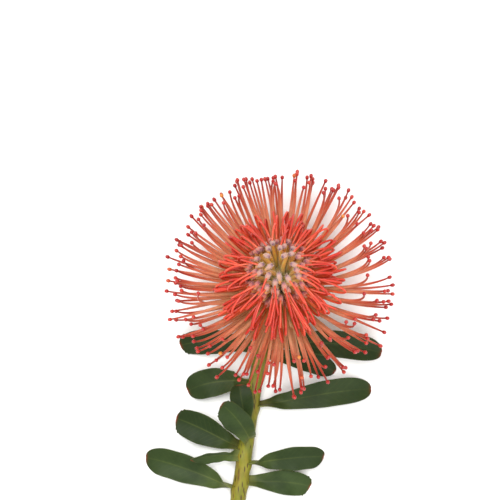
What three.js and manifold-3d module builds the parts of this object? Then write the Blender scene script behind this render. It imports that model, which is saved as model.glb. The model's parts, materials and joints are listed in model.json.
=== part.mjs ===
// A pincushion protea: one cut bloom on its leafy stem, laid on a flat surface, in millimetres.
// +Y runs from the cut end of the stem to the bloom, +X is across and +Z is up from the surface.
// The origin is on the surface, under the middle of the whole flower.

import * as THREE from "three";
import { mergeVertices } from "three/addons/utils/BufferGeometryUtils.js";
import Module from "manifold-3d";

const wasm = await Module();
wasm.setup();

const { lerp, smoothstep, degToRad } = THREE.MathUtils;

// The bloom: its height from foot to tip, how it leans, how high its foot is, and the place on the surface
// under its tip. Angles are in degrees throughout.
const HEAD_HEIGHT = 62;
const HEAD_TILT = 14;
const HEAD_LEAN = 2.5;
const HEAD_FOOT_HEIGHT = 14.5;
const TIP_PLACE = [3.5, 59.15];

// The florets stand on the head from its rim to its tip. The outer ones are open, those at the very tip are
// still closed, and those between are opening. Every third open and every fourth opening one is built.
const FLORETS = 348;
const OPEN_FLORETS = 198;
const CLOSED_FLORETS = 4;
const OPEN_STEP = 3;
const OPENING_STEP = 4;
const GOLDEN_ANGLE = 137.508;
const NEXT_SPIRAL_TURN = 74;
const TURN_SPREAD = 9;
const OPEN_ROOTS = [3.6, 11.6];
const OPENING_ROOTS = [14, 23.8];
const CLOSED_ROOTS = [26.6, 30.6];
const ROOT_DEPTH = 0.9;

// How many sides the shafts, the turned parts of the head and the stem have.
const STYLE_SIDES = 4;
const TUBE_SIDES = 4;
const LOOP_SIDES = 3;
const HEAD_SIDES = 16;
const STEM_SIDES = 10;

// The receptacle, the sleeve of packed floret bases round it and the cap of them on its top.
const RECEPTACLE_RADIUS = 7;
const RECEPTACLE_HEIGHT = 27;
const SLEEVE_RADIUS = 9.5;
const SLEEVE_HEIGHT = 31;
const OPEN_SLEEVE = [2.6, 12.7];
const OPENING_SLEEVE = [13, 25.2];
const CAP_RADIUS = 4.5;
const CAP = [25.5, 31.5];
const GAP = 0.4;

// A free style: its girths at the stations along it, how far it leans from the head's axis at the rim and
// further in, the further lean that an inner one starts with, how far its end curls back to the axis and how
// far it sways to a side.
const STYLE_RADIUS = 0.6;
const STYLE_STATIONS = [0, 0.25, 0.5, 0.7, 0.85, 1];
const STYLE_TAPER = [1.65, 1.6, 1.45, 1.15, 0.95, 0.75];
const STYLE_LENGTH = [49.5, 55.5];
const LENGTH_SPREAD = [0.97, 1.03];
const STYLE_LEAN = [94, 53];
const LEAN_SPREAD = 8;
const INNER_FLARE = 28;
const FLARE_END = 0.5;
const STYLE_CURL = [32, 68];
const CURL_START = 0.3;
const CURL_POWER = 1.7;
const STYLE_SWAY = 4;
const STYLE_STEPS = 24;
const KNOB_RADIUS = 1.2;
const KNOB_LENGTH = 3;
const KNOB_END = 0.45;

// A petal under every fourth free style that is built: narrower near its root, falling away from the style
// as it runs out, and curled at its end.
const PETAL_STEP = 4;
const PETAL_WIDTH = 2.2;
const PETAL_NECK = 0.7;
const PETAL_THICKNESS = 0.7;
const PETAL_LENGTH = 11;
const PETAL_DROP = 0.42;
const PETAL_CURL_STEPS = 5;
const PETAL_CURL_TURN = 58;
const PETAL_CURL_STEP = [2.2, 1.4];

// An unopened floret's tube, which bows outwards near its end so that its woolly tip leans in to the axis,
// and the ball that the tips are spread over, from the head's tip to below the ball's widest ring. They
// stand closer together lower down, and not all of them reach the same distance out.
const TUBE_RADIUS = 0.9;
const TUBE_BOW = 48;
const TUBE_BOW_POWER = 4;
const TUBE_STATIONS = [0, 0.6, 0.78];
const LIMB_LENGTH = 4.4;
const LIMB_MIDDLE = 0.45;
const LIMB_GIRTHS = [0.68, 1.3, 0.58];
const BALL_RADIUS = 14.5;
const BALL_ROUGHNESS = 1.5;
const BALL_MIDDLE = 42;
const BALL_SPAN = 120;
const BALL_CROWDING = 0.8;

// The style that loops out of an opening floret: the shares of the tube where it leaves and where it is
// held, how far it is drawn out from the head's axis, the least and the most of that in any floret, the
// further share of it on the side above the stem, the share of it in the innermost florets and how many of
// them are short of it, and how far up the loop is drawn at its lower and its upper end. Bows and rises run
// from the inner florets to the outer ones.
const LOOP_FROM = 0.35;
const LOOP_TO = 0.94;
const LOOP_BOW = [19, 22];
const LOOP_BOW_SPREAD = [0.74, 1.14];
const STEM_SIDE_BOW = 0.15;
const YOUNG_BOW = 0.75;
const YOUNG_SHARE = 0.25;
const LOOP_REACH = 1.2;
const LOOP_LOW_RISE = [2, 0];
const LOOP_HIGH_RISE = [-3, 4];
const LOOP_SWAY = 6;
const LOOP_STEPS = 7;

// The stem, bent up into the head's foot. Its curves are given from the place under the bloom's tip. Then
// come how many rings its straight and its bent part have and how high the rings in the head are.
const CUT_RADIUS = 4.3;
const NECK_RADIUS = 3.4;
const FOOT_LENGTH = 5;
const STRAIGHT_STEM = [[-25.4, -164, 4.1], [-20.2, -128, 5.4], [-13.2, -78, 5.4], [-6.6, -38, 3.5]];
const NECK_PULL = [8, 7];
const STEM_RINGS = [12, 9];
const FOOT_RING_HEIGHT = -4.2;
const RECEPTACLE_HEIGHTS = [7, 12.5, 17, 21, 24.5, 26.5];

// The bracts in two rows round the foot, each from its own distance out and height to those of its end, with
// its half width at its base, past its middle and at its point as shares of the width, and the collar that
// they grow from.
const BRACT_THICKNESS = 0.7;
const BRACT_WIDTH = 5;
const BRACT_HALVES = [[0, 0.38], [0.55, 0.5], [1, 0.08]];
const BRACT_SAG = 1.3;
const BRACT_CUP = 0.02;
const COLLAR = [-3.4, 1.6];
const COLLAR_WALL = 1.1;
const BRACT_ROWS = [
  { count: 9, from: [6.4, -2.6], to: [11.5, -3] },
  { count: 11, from: [7.8, -0.6], to: [13, -0.6] },
];

// The leaves: how thick and how far cupped they are, how wide at the base as a share of the widest, between
// which shares of the length they reach and leave that width, how long and how blunt the rounded end is, how
// soon the face is turned up, and how far the midrib is drawn out of the stem and along it.
const LEAF_THICKNESS = 0.9;
const LEAF_CUP = 0.16;
const LEAF_BASE = 0.5;
const LEAF_WIDE = [0.5, 0.62];
const LEAF_END = 0.385;
const LEAF_BLUNTNESS = 1.2;
const LEAF_TURNED = 0.22;
const LEAF_OUTWARD = 0.16;
const LEAF_AHEAD = 0.1;
const LEAF_MIDDLE_HEIGHT = 2;
const TOOTH_LENGTH = 0.12;

// Each leaf, from the lowest on the stem to the highest: from is how far up the stem from its cut end the
// leaf grows, around the angle round the stem from straight up towards +X, tip the place of its end from the
// place under the bloom's tip, rise how far its middle stands above a straight way there, and roll the turn
// of its face at the base and at the end.
const LEAVES = [
  { from: 46, around: -85, tip: [-68, -103, 0.5], width: 15, rise: 4, roll: [5, -10], toothed: false },
  { from: 50, around: 98, tip: [18, -118, 0.6], width: 13, rise: 4, roll: [-10, 15], toothed: true },
  { from: 60, around: 75, tip: [25, -102, 5], width: 13, rise: 5, roll: [10, 20], toothed: false },
  { from: 63, around: -50, tip: [-44, -103, 14], width: 12, rise: 4, roll: [-50, -66], toothed: false },
  { from: 67, around: -98, tip: [-52, -82, 4], width: 16, rise: 3, roll: [0, -18], toothed: true },
  { from: 72, around: 20, tip: [-28, -73, 27], width: 15, rise: 6, roll: [-10, -32], toothed: true },
  { from: 80, around: -20, tip: [-19, -64, 13], width: 12, rise: 2, roll: [0, 8], toothed: true },
  { from: 90, around: 95, tip: [50, -67, 0.6], width: 14, rise: 4, roll: [10, -10], toothed: false },
  { from: 102, around: -88, tip: [-46, -68, 0.5], width: 15, rise: 4, roll: [0, 10], toothed: false },
  { from: 117, around: 100, tip: [31, -58, 0.5], width: 11, rise: 3, roll: [-10, 10], toothed: false },
  { from: 120, around: -80, tip: [-50, -44, 0.5], width: 13, rise: 3, roll: [8, -10], toothed: true },
  { from: 124, around: 75, tip: [55, -48, 6], width: 14, rise: 7, roll: [8, -8], toothed: false },
];

const point = (x, y, z) => new THREE.Vector3(x, y, z);
const sine = (degrees) => Math.sin(degToRad(degrees));
const cosine = (degrees) => Math.cos(degToRad(degrees));

// A number from low to high that is always the same for one floret and one use.
function chance(floret, use, low, high) {
  const x = Math.sin(floret * 127.1 + use * 311.7) * 43758.5453;
  return lerp(low, high, x - Math.floor(x));
}

// Where the head stands and how it is turned: its own Z is its axis, from the foot to the tip.
const onSurface = (x, y, z) => point(x + TIP_PLACE[0], y + TIP_PLACE[1], z);
const headAxis = point(-sine(HEAD_LEAN), sine(HEAD_TILT), 0);
headAxis.z = Math.sqrt(1 - headAxis.lengthSq());
const headFoot = onSurface(-HEAD_HEIGHT * headAxis.x, -HEAD_HEIGHT * headAxis.y, HEAD_FOOT_HEIGHT);
const headAcross = point(1, 0, 0).addScaledVector(headAxis, -headAxis.x).normalize();
const headForward = headAxis.clone().cross(headAcross);
const headFrame = new THREE.Matrix4().makeBasis(headAcross, headForward, headAxis).setPosition(headFoot);

// A closed mesh from vertices and triangles.
function meshOf(points, triangles) {
  const geometry = new THREE.BufferGeometry().setFromPoints(points);
  geometry.setIndex(triangles.flat());
  return geometry;
}

// A ring of points round a middle, in the plane of two directions.
function ringAt(middle, a, b, radius, sides) {
  return Array.from({ length: sides }, (_, i) => {
    const turn = (360 * i) / sides;
    return middle.clone().addScaledVector(a, radius * cosine(turn)).addScaledVector(b, radius * sine(turn));
  });
}

// A closed tube through rings of points, each ring going round the way ahead.
function loft(rings) {
  const sides = rings[0].length;
  const last = (rings.length - 1) * sides;
  const triangles = [];
  for (let j = 0; j < rings.length - 1; j++) {
    for (let i = 0; i < sides; i++) {
      const a = j * sides + i;
      const b = j * sides + ((i + 1) % sides);
      triangles.push([a, b, b + sides], [a, b + sides, a + sides]);
    }
  }
  for (let i = 1; i < sides - 1; i++) {
    triangles.push([0, i + 1, i], [last, last + i, last + i + 1]);
  }
  return meshOf(rings.flat(), triangles);
}

// A thin closed blade. A row holds the points across it, each with the way its upper face looks.
// Both faces are split along the same diagonals, so that a twisted blade never cuts itself.
function blade(rows, thickness) {
  const across = rows[0].length;
  const under = rows.length * across;
  const faces = [thickness / 2, -thickness / 2].flatMap((offset) =>
    rows.flat().map(({ at, normal }) => at.clone().addScaledVector(normal, offset)),
  );
  const triangles = [];
  for (let j = 0; j < rows.length - 1; j++) {
    for (let k = 0; k < across - 1; k++) {
      const [a, b] = [j * across + k, j * across + k + 1];
      const [c, d] = [b + across, a + across];
      triangles.push([a, b, c], [a, c, d]);
      triangles.push([a + under, c + under, b + under], [a + under, d + under, c + under]);
    }
    const [l, m] = [j * across, (j + 1) * across];
    const [r, s] = [l + across - 1, m + across - 1];
    triangles.push([l, m, m + under], [l, m + under, l + under]);
    triangles.push([r, s + under, s], [r, r + under, s + under]);
  }
  for (let k = 0; k < across - 1; k++) {
    const end = (rows.length - 1) * across + k;
    triangles.push([k, k + under, k + 1 + under], [k, k + 1 + under, k + 1]);
    triangles.push([end, end + 1 + under, end + under], [end, end + 1, end + 1 + under]);
  }
  return meshOf(faces, triangles);
}

// A closed ring or cap turned round the head's axis, from points given as distance out and height.
function turned(profile, sides) {
  return new THREE.LatheGeometry([...profile, profile[0].clone()], sides).rotateX(Math.PI / 2);
}

// The points of a wall of the head between two heights, from its radius at a height.
function wall([low, high], steps, radiusAt) {
  return Array.from({ length: steps + 1 }, (_, j) => {
    const height = lerp(low, high, j / steps);
    return new THREE.Vector2(radiusAt(height), height);
  });
}

// One solid out of many overlapping meshes.
function fuse(geometries) {
  const solids = geometries.map((geometry) => {
    geometry.deleteAttribute("normal");
    geometry.deleteAttribute("uv");
    const closed = mergeVertices(geometry, 1e-4);
    return new wasm.Manifold(
      new wasm.Mesh({
        numProp: 3,
        vertProperties: new Float32Array(closed.attributes.position.array),
        triVerts: new Uint32Array(closed.index.array),
      }),
    );
  });
  const mesh = solids.reduce((whole, solid) => whole.add(solid)).getMesh();
  return new THREE.BufferGeometry()
    .setAttribute("position", new THREE.BufferAttribute(new Float32Array(mesh.vertProperties), 3))
    .setIndex(new THREE.BufferAttribute(new Uint32Array(mesh.triVerts), 1));
}

// A point of the head, from its angle round the axis, its distance out from it, its height along it and how
// far aside it lies from that angle's plane.
function inHead(angle, out, height, aside = 0) {
  const [c, s] = [cosine(angle), sine(angle)];
  return point(out * c - aside * s, out * s + aside * c, height);
}

// The way aside from the plane of an angle.
const asideOf = (angle) => inHead(angle, 0, 0, 1);

// The radii at a height of the receptacle, of the sleeve round it and of the cap on its top, each a dome.
const dome = (radius, share) => radius * Math.sqrt(Math.max(0, 1 - share ** 2));
const receptacleRadius = (height) => dome(RECEPTACLE_RADIUS, height / RECEPTACLE_HEIGHT);
const sleeveRadius = (height) => dome(SLEEVE_RADIUS, height / SLEEVE_HEIGHT);
const capRadius = (height) => dome(CAP_RADIUS, (height - CAP[0]) / (CAP[1] - CAP[0]));

// The way ahead at one of a line's points, from the point before it to the point after it.
function wayAt(line, j) {
  return line[Math.min(j + 1, line.length - 1)].clone().sub(line[Math.max(j - 1, 0)]).normalize();
}

// A thin shape round a line of the head that stays near one angle's plane.
function shaft(line, radii, sides, angle) {
  const rings = line.map((middle, j) => {
    const ahead = wayAt(line, j);
    const a = asideOf(angle).addScaledVector(ahead, -asideOf(angle).dot(ahead)).normalize();
    return ringAt(middle, a, ahead.clone().cross(a), radii[j], sides);
  });
  return loft(rings);
}

// The florets of one kind, spread over the heights of its roots: each with its number, its share of the way
// up its kind, its angle round the head and its root. base is the radius of what they stand in.
function florets(first, count, roots, base, angleOf) {
  return Array.from({ length: count }, (_, i) => {
    const share = i / (count - 1);
    const height = lerp(...roots, share);
    return { index: first + i, share, angle: angleOf(first + i), out: base(height) - ROOT_DEPTH, height };
  });
}

// The open florets stand in three spirals, each turned from the one before, so that the first alone is even
// all round. The others stand in one, each a little off its place.
const threeSpirals = (i) => GOLDEN_ANGLE * Math.floor(i / OPEN_STEP) + (i % OPEN_STEP) * NEXT_SPIRAL_TURN;
const looseSpiral = (i) => GOLDEN_ANGLE * i + chance(i, 7, -TURN_SPREAD, TURN_SPREAD);
const openingCount = FLORETS - OPEN_FLORETS - CLOSED_FLORETS;
const open = florets(0, OPEN_FLORETS, OPEN_ROOTS, sleeveRadius, threeSpirals);
const opening = florets(OPEN_FLORETS, openingCount, OPENING_ROOTS, sleeveRadius, looseSpiral);
const closed = florets(FLORETS - CLOSED_FLORETS, CLOSED_FLORETS, CLOSED_ROOTS, capRadius, looseSpiral);

// The middle line of a free style, followed step by step as its angle to the head's axis changes.
function styleLine({ index, share, angle, out, height }) {
  const lean = lerp(...STYLE_LEAN, share) + chance(index, 1, -LEAN_SPREAD / 2, LEAN_SPREAD / 2);
  const curl = chance(index, 2, ...STYLE_CURL);
  const sway = chance(index, 3, -STYLE_SWAY, STYLE_SWAY);
  const step = (lerp(...STYLE_LENGTH, share) * chance(index, 4, ...LENGTH_SPREAD)) / STYLE_STEPS;
  const line = [inHead(angle, out, height)];
  let [r, h] = [out, height];
  for (let j = 1; j <= STYLE_STEPS; j++) {
    const along = (j - 0.5) / STYLE_STEPS;
    const flare = share * INNER_FLARE * Math.max(0, 1 - along / FLARE_END) ** 2;
    const curled = curl * Math.max(0, (along - CURL_START) / (1 - CURL_START)) ** CURL_POWER;
    r += step * sine(lean + flare - curled);
    h += step * cosine(lean + flare - curled);
    line.push(inHead(angle, r, h, sway * (j / STYLE_STEPS) ** 2));
  }
  return line;
}

// A free style: a thin shaft that ends in the knob that carries its pollen.
function freeStyle(floret) {
  const line = styleLine(floret);
  const tip = line[STYLE_STEPS];
  const ahead = tip.clone().sub(line[STYLE_STEPS - 1]).normalize();
  const stations = STYLE_STATIONS.map((share) => line[Math.round(share * STYLE_STEPS)]);
  const knob = [0.5, 1].map((share) => tip.clone().addScaledVector(ahead, share * KNOB_LENGTH));
  const radii = STYLE_TAPER.map((share) => share * STYLE_RADIUS);
  radii.push(KNOB_RADIUS, KNOB_END * KNOB_RADIUS);
  return shaft([...stations, ...knob], radii, STYLE_SIDES, floret.angle);
}

// A petal of an open floret, which runs out under its style and then rolls back on itself.
function rolledPetal(floret) {
  const line = styleLine(floret);
  const aside = asideOf(floret.angle);
  const along = line[STYLE_STEPS / 4].clone().sub(line[0]).normalize();
  const below = aside.clone().cross(along).normalize();
  const middle = [0, 0.5, 1].map((share) => {
    const apart = STYLE_RADIUS + PETAL_THICKNESS + PETAL_DROP * share;
    return line[0].clone().addScaledVector(along, share * PETAL_LENGTH).addScaledVector(below, apart);
  });
  for (let j = 1; j <= PETAL_CURL_STEPS; j++) {
    const turn = PETAL_CURL_TURN * (j - 0.5);
    const step = lerp(...PETAL_CURL_STEP, j / PETAL_CURL_STEPS);
    const from = middle[middle.length - 1].clone();
    middle.push(from.addScaledVector(along, step * cosine(turn)).addScaledVector(below, step * sine(turn)));
  }
  const rows = middle.map((at, j) => {
    const normal = aside.clone().cross(wayAt(middle, j)).normalize();
    const half = (PETAL_WIDTH / 2) * (j < 2 ? PETAL_NECK : 1);
    return [-half, half].map((side) => ({ at: at.clone().addScaledVector(aside, side), normal }));
  });
  return blade(rows, PETAL_THICKNESS);
}

// The end of an unopened floret, as a distance out from the axis and a height: its place on the ball, whose
// florets are counted down from the head's tip.
function floretEnd(index) {
  const counted = (FLORETS - index - 0.5) / (FLORETS - OPEN_FLORETS);
  const up = 1 - (1 - cosine(BALL_SPAN)) * counted ** BALL_CROWDING;
  const radius = BALL_RADIUS + chance(index, 15, -BALL_ROUGHNESS, BALL_ROUGHNESS);
  return new THREE.Vector2(dome(radius, up), lerp(BALL_MIDDLE, HEAD_HEIGHT, up));
}

// A point of the middle line of an unopened floret's tube, given in the same way.
function tubePoint({ index, out, height }, share) {
  const line = new THREE.Vector2(out, height).lerp(floretEnd(index), share);
  line.x += TUBE_BOW * share ** TUBE_BOW_POWER * (1 - share);
  return line;
}

// An unopened floret: a slender tube with a swollen woolly end.
function floretTube(floret) {
  const neck = 1 - LIMB_LENGTH / tubePoint(floret, 1).distanceTo(tubePoint(floret, 0));
  const stations = [...TUBE_STATIONS, neck, lerp(neck, 1, LIMB_MIDDLE), 1];
  const radii = [...TUBE_STATIONS.map(() => TUBE_RADIUS), ...LIMB_GIRTHS];
  const line = stations.map((share) => inHead(floret.angle, ...tubePoint(floret, share)));
  return shaft(line, radii, TUBE_SIDES, floret.angle);
}

// The style of an opening floret: it has burst out of the tube's side and bows outwards, with its end still
// held in the woolly tip.
function loopedStyle(floret) {
  const outer = 1 - floret.share;
  const grown = lerp(YOUNG_BOW, 1, smoothstep(outer, 0, YOUNG_SHARE));
  const hanging = 1 + STEM_SIDE_BOW * Math.max(-sine(floret.angle), 0);
  const bow = hanging * grown * lerp(...LOOP_BOW, outer) * chance(floret.index, 5, ...LOOP_BOW_SPREAD);
  const sway = chance(floret.index, 6, -LOOP_SWAY, LOOP_SWAY);
  const start = tubePoint(floret, LOOP_FROM);
  const end = tubePoint(floret, LOOP_TO);
  const low = new THREE.Vector2(start.x + bow, start.y + lerp(...LOOP_LOW_RISE, outer));
  const high = new THREE.Vector2(end.x + LOOP_REACH * bow, end.y + lerp(...LOOP_HIGH_RISE, outer));
  const line = new THREE.CubicBezierCurve(start, low, high, end)
    .getPoints(LOOP_STEPS)
    .map(({ x, y }, j) => inHead(floret.angle, x, y, sway * sine((180 * j) / LOOP_STEPS)));
  return shaft(line, line.map(() => STYLE_RADIUS), LOOP_SIDES, floret.angle);
}

// The florets of one state are one solid, held together by the part of the sleeve that they grow in.
function sleeve(span) {
  const inner = wall(span, 4, (height) => receptacleRadius(height) + GAP);
  return turned([...wall(span, 2, sleeveRadius), ...inner.reverse()], HEAD_SIDES);
}

// The closed florets stand in a cap over the receptacle's top.
function topCap() {
  const outer = [0, 0.4, 0.75, 1].map((share) => {
    const height = lerp(...CAP, share);
    return new THREE.Vector2(capRadius(height), height);
  });
  const inner = [0, 0.5, 0.85, 1].map((share) => {
    const height = lerp(RECEPTACLE_HEIGHT + GAP, CAP[0], share);
    return new THREE.Vector2(share && receptacleRadius(height - GAP) + GAP, height);
  });
  return turned([...outer, ...inner], HEAD_SIDES);
}

// Every so many florets of a kind, each with its style, its tube or a petal.
function openFlorets() {
  const styled = open.filter((_, i) => i % OPEN_STEP === 0);
  const petalled = styled.filter((_, i) => i % PETAL_STEP === 0);
  return fuse([sleeve(OPEN_SLEEVE), ...styled.map(freeStyle), ...petalled.map(rolledPetal)]);
}

function loopedFlorets() {
  const looped = opening.filter((_, i) => i % OPENING_STEP === 0);
  return fuse([sleeve(OPENING_SLEEVE), ...looped.map(floretTube), ...looped.map(loopedStyle)]);
}

function closedFlorets() {
  return fuse([topCap(), ...closed.map(floretTube)]);
}

// The neck widens into the receptacle's foot, which the bracts sit round.
const footRadius = (height) => lerp(NECK_RADIUS, RECEPTACLE_RADIUS, smoothstep(height, -FOOT_LENGTH, 0.5));

// One pointed bract, cupped a little across and sagging between its root and its end.
function bract({ from, to }, angle) {
  const rows = BRACT_HALVES.map(([share, halfShare]) => {
    const half = halfShare * BRACT_WIDTH;
    const sag = BRACT_SAG * sine(180 * share);
    return [half, 0, -half].map((aside) => {
      const height = lerp(from[1], to[1], share) - sag + BRACT_CUP * aside ** 2;
      return { at: inHead(angle, lerp(from[0], to[0], share), height, aside), normal: point(0, 0, 1) };
    });
  });
  return blade(rows, BRACT_THICKNESS);
}

// The collar round the foot and the bracts that grow from it.
function involucralBracts() {
  const outer = wall(COLLAR, 2, (height) => footRadius(height) + GAP + COLLAR_WALL);
  const inner = wall(COLLAR, 2, (height) => footRadius(height) + GAP);
  const bracts = BRACT_ROWS.flatMap((row) =>
    Array.from({ length: row.count }, (_, i) => bract(row, (360 * (i + row.count / 3)) / row.count)),
  );
  return fuse([turned([...outer, ...inner.reverse()], HEAD_SIDES), ...bracts]);
}

// The stem's middle line: nearly straight along the surface, then bent up into the head's foot.
const straightPoints = STRAIGHT_STEM.map((at) => onSurface(...at));
const neckStart = straightPoints[3];
const neckWay = neckStart.clone().sub(straightPoints[2]).normalize();
const footStart = point(0, 0, -FOOT_LENGTH).applyMatrix4(headFrame);
const stemLine = new THREE.CurvePath();
stemLine.add(new THREE.CubicBezierCurve3(...straightPoints));
stemLine.add(
  new THREE.CubicBezierCurve3(
    neckStart,
    neckStart.clone().addScaledVector(neckWay, NECK_PULL[0]),
    footStart.clone().addScaledVector(headAxis, -NECK_PULL[1]),
    footStart,
  ),
);

// The stem at a share of its length: its middle, the way ahead, and the two ways across, level and up.
const stemRadius = (share) => lerp(CUT_RADIUS, NECK_RADIUS, share);
function stemAt(share) {
  const ahead = stemLine.getTangent(share);
  const across = point(1, 0, 0).addScaledVector(ahead, -ahead.x).normalize();
  return { middle: stemLine.getPoint(share), ahead, across, up: across.clone().cross(ahead) };
}

// The stem and the receptacle, which grow as one piece.
function stemWithReceptacle() {
  const neckShare = stemLine.getCurveLengths()[0] / stemLine.getLength();
  const [low, bent] = STEM_RINGS;
  const shares = [
    ...Array.from({ length: low }, (_, j) => (neckShare * j) / low),
    ...Array.from({ length: bent }, (_, j) => lerp(neckShare, 1, j / (bent - 1))),
  ];
  const stemRings = shares.map((share) => {
    const { middle, ahead, across } = stemAt(share);
    return ringAt(middle, across, ahead.clone().cross(across), stemRadius(share), STEM_SIDES);
  });
  const collarHeights = [0, 0.5, 1].map((share) => lerp(...COLLAR, share));
  const receptacleRings = [FOOT_RING_HEIGHT, ...collarHeights, ...RECEPTACLE_HEIGHTS].map((height) => {
    const radius = height < 1 ? footRadius(height) : receptacleRadius(height);
    const middle = point(0, 0, height).applyMatrix4(headFrame);
    return ringAt(middle, headAcross, headForward, radius, STEM_SIDES);
  });
  return loft([...stemRings, ...receptacleRings]);
}

// Half a leaf's width, as a share of its widest: narrow at the base, widest past the middle and round at
// the end. A toothed leaf has a small tooth either side of its tip.
const LEAF_SHARES = [0, 0.07, 0.16, 0.3, 0.46, 0.64, 0.78, 0.87, 0.91, 0.93, 0.975, 1];
const TOOTH_SHARE = 0.91;
function leafHalf(share, toothed) {
  const base = lerp(LEAF_BASE, 1, smoothstep(share, 0, LEAF_WIDE[0]));
  const end = dome(1, (Math.max(0, share - LEAF_WIDE[1]) / LEAF_END) ** LEAF_BLUNTNESS);
  const tooth = toothed && share === TOOTH_SHARE ? TOOTH_LENGTH : 0;
  return base * end + tooth;
}

// The line of a leaf's midrib: out and a little up the stem first, then over to its tip.
function leafRib({ from, around, tip, rise }) {
  const along = from / stemLine.getLength();
  const { middle, ahead, across, up } = stemAt(along);
  const outward = up.clone().multiplyScalar(cosine(around)).addScaledVector(across, sine(around));
  const start = middle.clone().addScaledVector(outward, stemRadius(along) + LEAF_THICKNESS / 2 + GAP);
  const end = onSurface(...tip);
  const length = start.distanceTo(end);
  const control = start.clone().lerp(end, 0.5).addScaledVector(outward, LEAF_OUTWARD * length);
  control.addScaledVector(ahead, LEAF_AHEAD * length).add(point(0, 0, rise));
  control.z = Math.max(control.z, LEAF_MIDDLE_HEIGHT);
  return { rib: new THREE.QuadraticBezierCurve3(start, control, end), outward };
}

// A leaf: it clasps the stem with its base, turns its face up within a quarter of its length, and is a
// little cupped along its midrib.
function leaf(shape) {
  const { rib, outward } = leafRib(shape);
  const rows = LEAF_SHARES.map((share) => {
    const way = rib.getTangent(share);
    const level = way.clone().cross(point(0, 0, 1)).normalize();
    const rolled = level.applyAxisAngle(way, degToRad(lerp(...shape.roll, share)));
    const clasping = way.clone().cross(outward).normalize();
    clasping.multiplyScalar(Math.sign(clasping.dot(rolled)));
    const side = clasping.lerp(rolled, smoothstep(share, 0, LEAF_TURNED)).normalize();
    const normal = side.clone().cross(way);
    const half = (shape.width / 2) * leafHalf(share, shape.toothed);
    return [-1, 0, 1].map((edge) => {
      const at = rib.getPoint(share).addScaledVector(side, edge * half);
      return { at: at.addScaledVector(normal, Math.abs(edge) * LEAF_CUP * half), normal };
    });
  });
  return blade(rows, LEAF_THICKNESS);
}

// Each piece's own colour and surface.
function surface(color, roughness) {
  return new THREE.MeshStandardMaterial({ color, roughness, metalness: 0 });
}
const stemSurface = surface(0x75752b, 0.55);
const leafSurface = surface(0x304021, 0.6);
const bractSurface = surface(0x6f6a3a, 0.75);
const openSurface = surface(0xd67a57, 0.45);
const loopedSurface = surface(0xd6452e, 0.45);
const closedSurface = surface(0xbd9957, 0.7);

function piece(name, geometry, material) {
  const mesh = new THREE.Mesh(geometry, material);
  mesh.name = name;
  return mesh;
}

const head = new THREE.Group();
head.applyMatrix4(headFrame);
head.add(
  piece("involucral_bracts", involucralBracts(), bractSurface),
  piece("open_florets", openFlorets(), openSurface),
  piece("looped_florets", loopedFlorets(), loopedSurface),
  piece("closed_florets", closedFlorets(), closedSurface),
);

const flower = new THREE.Group();
flower.add(piece("stem", stemWithReceptacle(), stemSurface), head);
LEAVES.forEach((shape, i) => {
  flower.add(piece("leaf_" + String(i + 1).padStart(2, "0"), leaf(shape), leafSurface));
});

export default flower;
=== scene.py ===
# %% [markdown]
# # A pincushion protea, cut and laid on a table
#
# The bloom is a dome of about three hundred and fifty florets. Those round its rim are open, and their long
# styles stand out like pins. Further in, the end of each style is still held by its floret's tip, so that the
# style stands out in a loop, and at the very tip of the dome the florets are closed. The solids of the frame
# hold fewer and plainer florets, so this script makes them again, all of them and finer, by the same rule,
# and then gives everything its colour.

# %% Open the frame
import json

import bpy
import numpy as np
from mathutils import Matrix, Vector

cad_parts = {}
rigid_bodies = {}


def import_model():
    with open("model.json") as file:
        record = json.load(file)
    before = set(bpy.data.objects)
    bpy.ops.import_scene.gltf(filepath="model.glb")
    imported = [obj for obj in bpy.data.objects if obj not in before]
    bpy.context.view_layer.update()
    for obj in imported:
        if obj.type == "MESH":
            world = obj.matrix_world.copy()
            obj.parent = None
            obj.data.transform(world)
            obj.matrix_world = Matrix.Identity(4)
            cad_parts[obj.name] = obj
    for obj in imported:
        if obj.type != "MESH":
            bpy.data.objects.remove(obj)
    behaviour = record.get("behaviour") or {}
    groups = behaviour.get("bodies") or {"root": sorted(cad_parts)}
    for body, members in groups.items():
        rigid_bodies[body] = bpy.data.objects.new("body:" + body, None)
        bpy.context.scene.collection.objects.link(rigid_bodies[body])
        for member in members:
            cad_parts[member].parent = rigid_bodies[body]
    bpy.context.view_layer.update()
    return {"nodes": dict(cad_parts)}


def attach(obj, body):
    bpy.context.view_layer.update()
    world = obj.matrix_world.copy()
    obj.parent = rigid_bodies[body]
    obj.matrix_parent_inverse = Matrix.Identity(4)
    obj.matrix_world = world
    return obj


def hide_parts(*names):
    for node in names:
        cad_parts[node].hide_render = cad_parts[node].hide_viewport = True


for thing in list(bpy.data.objects):
    bpy.data.objects.remove(thing)
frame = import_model()
print("solids in the frame:", len(frame["nodes"]))

# %% [markdown]
# ## The view
#
# A cut flower lies down, so the camera looks straight down on it, with the stem running towards the bottom
# of the picture. One pixel of the photograph is half a millimetre on the bloom. A long lens from over a metre
# away keeps the leaves below the bloom from shrinking much.

# %% Camera
MM = 0.001
TIP_PLACE = np.array([3.5, 59.15])  # under the bloom's tip, from the middle of the flower
PIXEL = 0.5
PHOTO_SIZE = 500
TIP_PIXEL = np.array([277, 262])
FOCUS_HEIGHT = 55
CAMERA_DISTANCE = 1100
SENSOR = 36

across, down = PHOTO_SIZE / 2 - TIP_PIXEL
middle = TIP_PLACE + PIXEL * np.array([across, -down])
camera_data = bpy.data.cameras.new("camera")
camera_data.sensor_width = SENSOR
camera_data.lens = SENSOR * CAMERA_DISTANCE / (PIXEL * PHOTO_SIZE)
camera = bpy.data.objects.new("camera", camera_data)
camera.location = (*(middle * MM), (FOCUS_HEIGHT + CAMERA_DISTANCE) * MM)
bpy.context.scene.collection.objects.link(camera)
bpy.context.scene.camera = camera
print("camera over", middle.round(1), "mm, lens", round(camera_data.lens), "mm")

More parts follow.
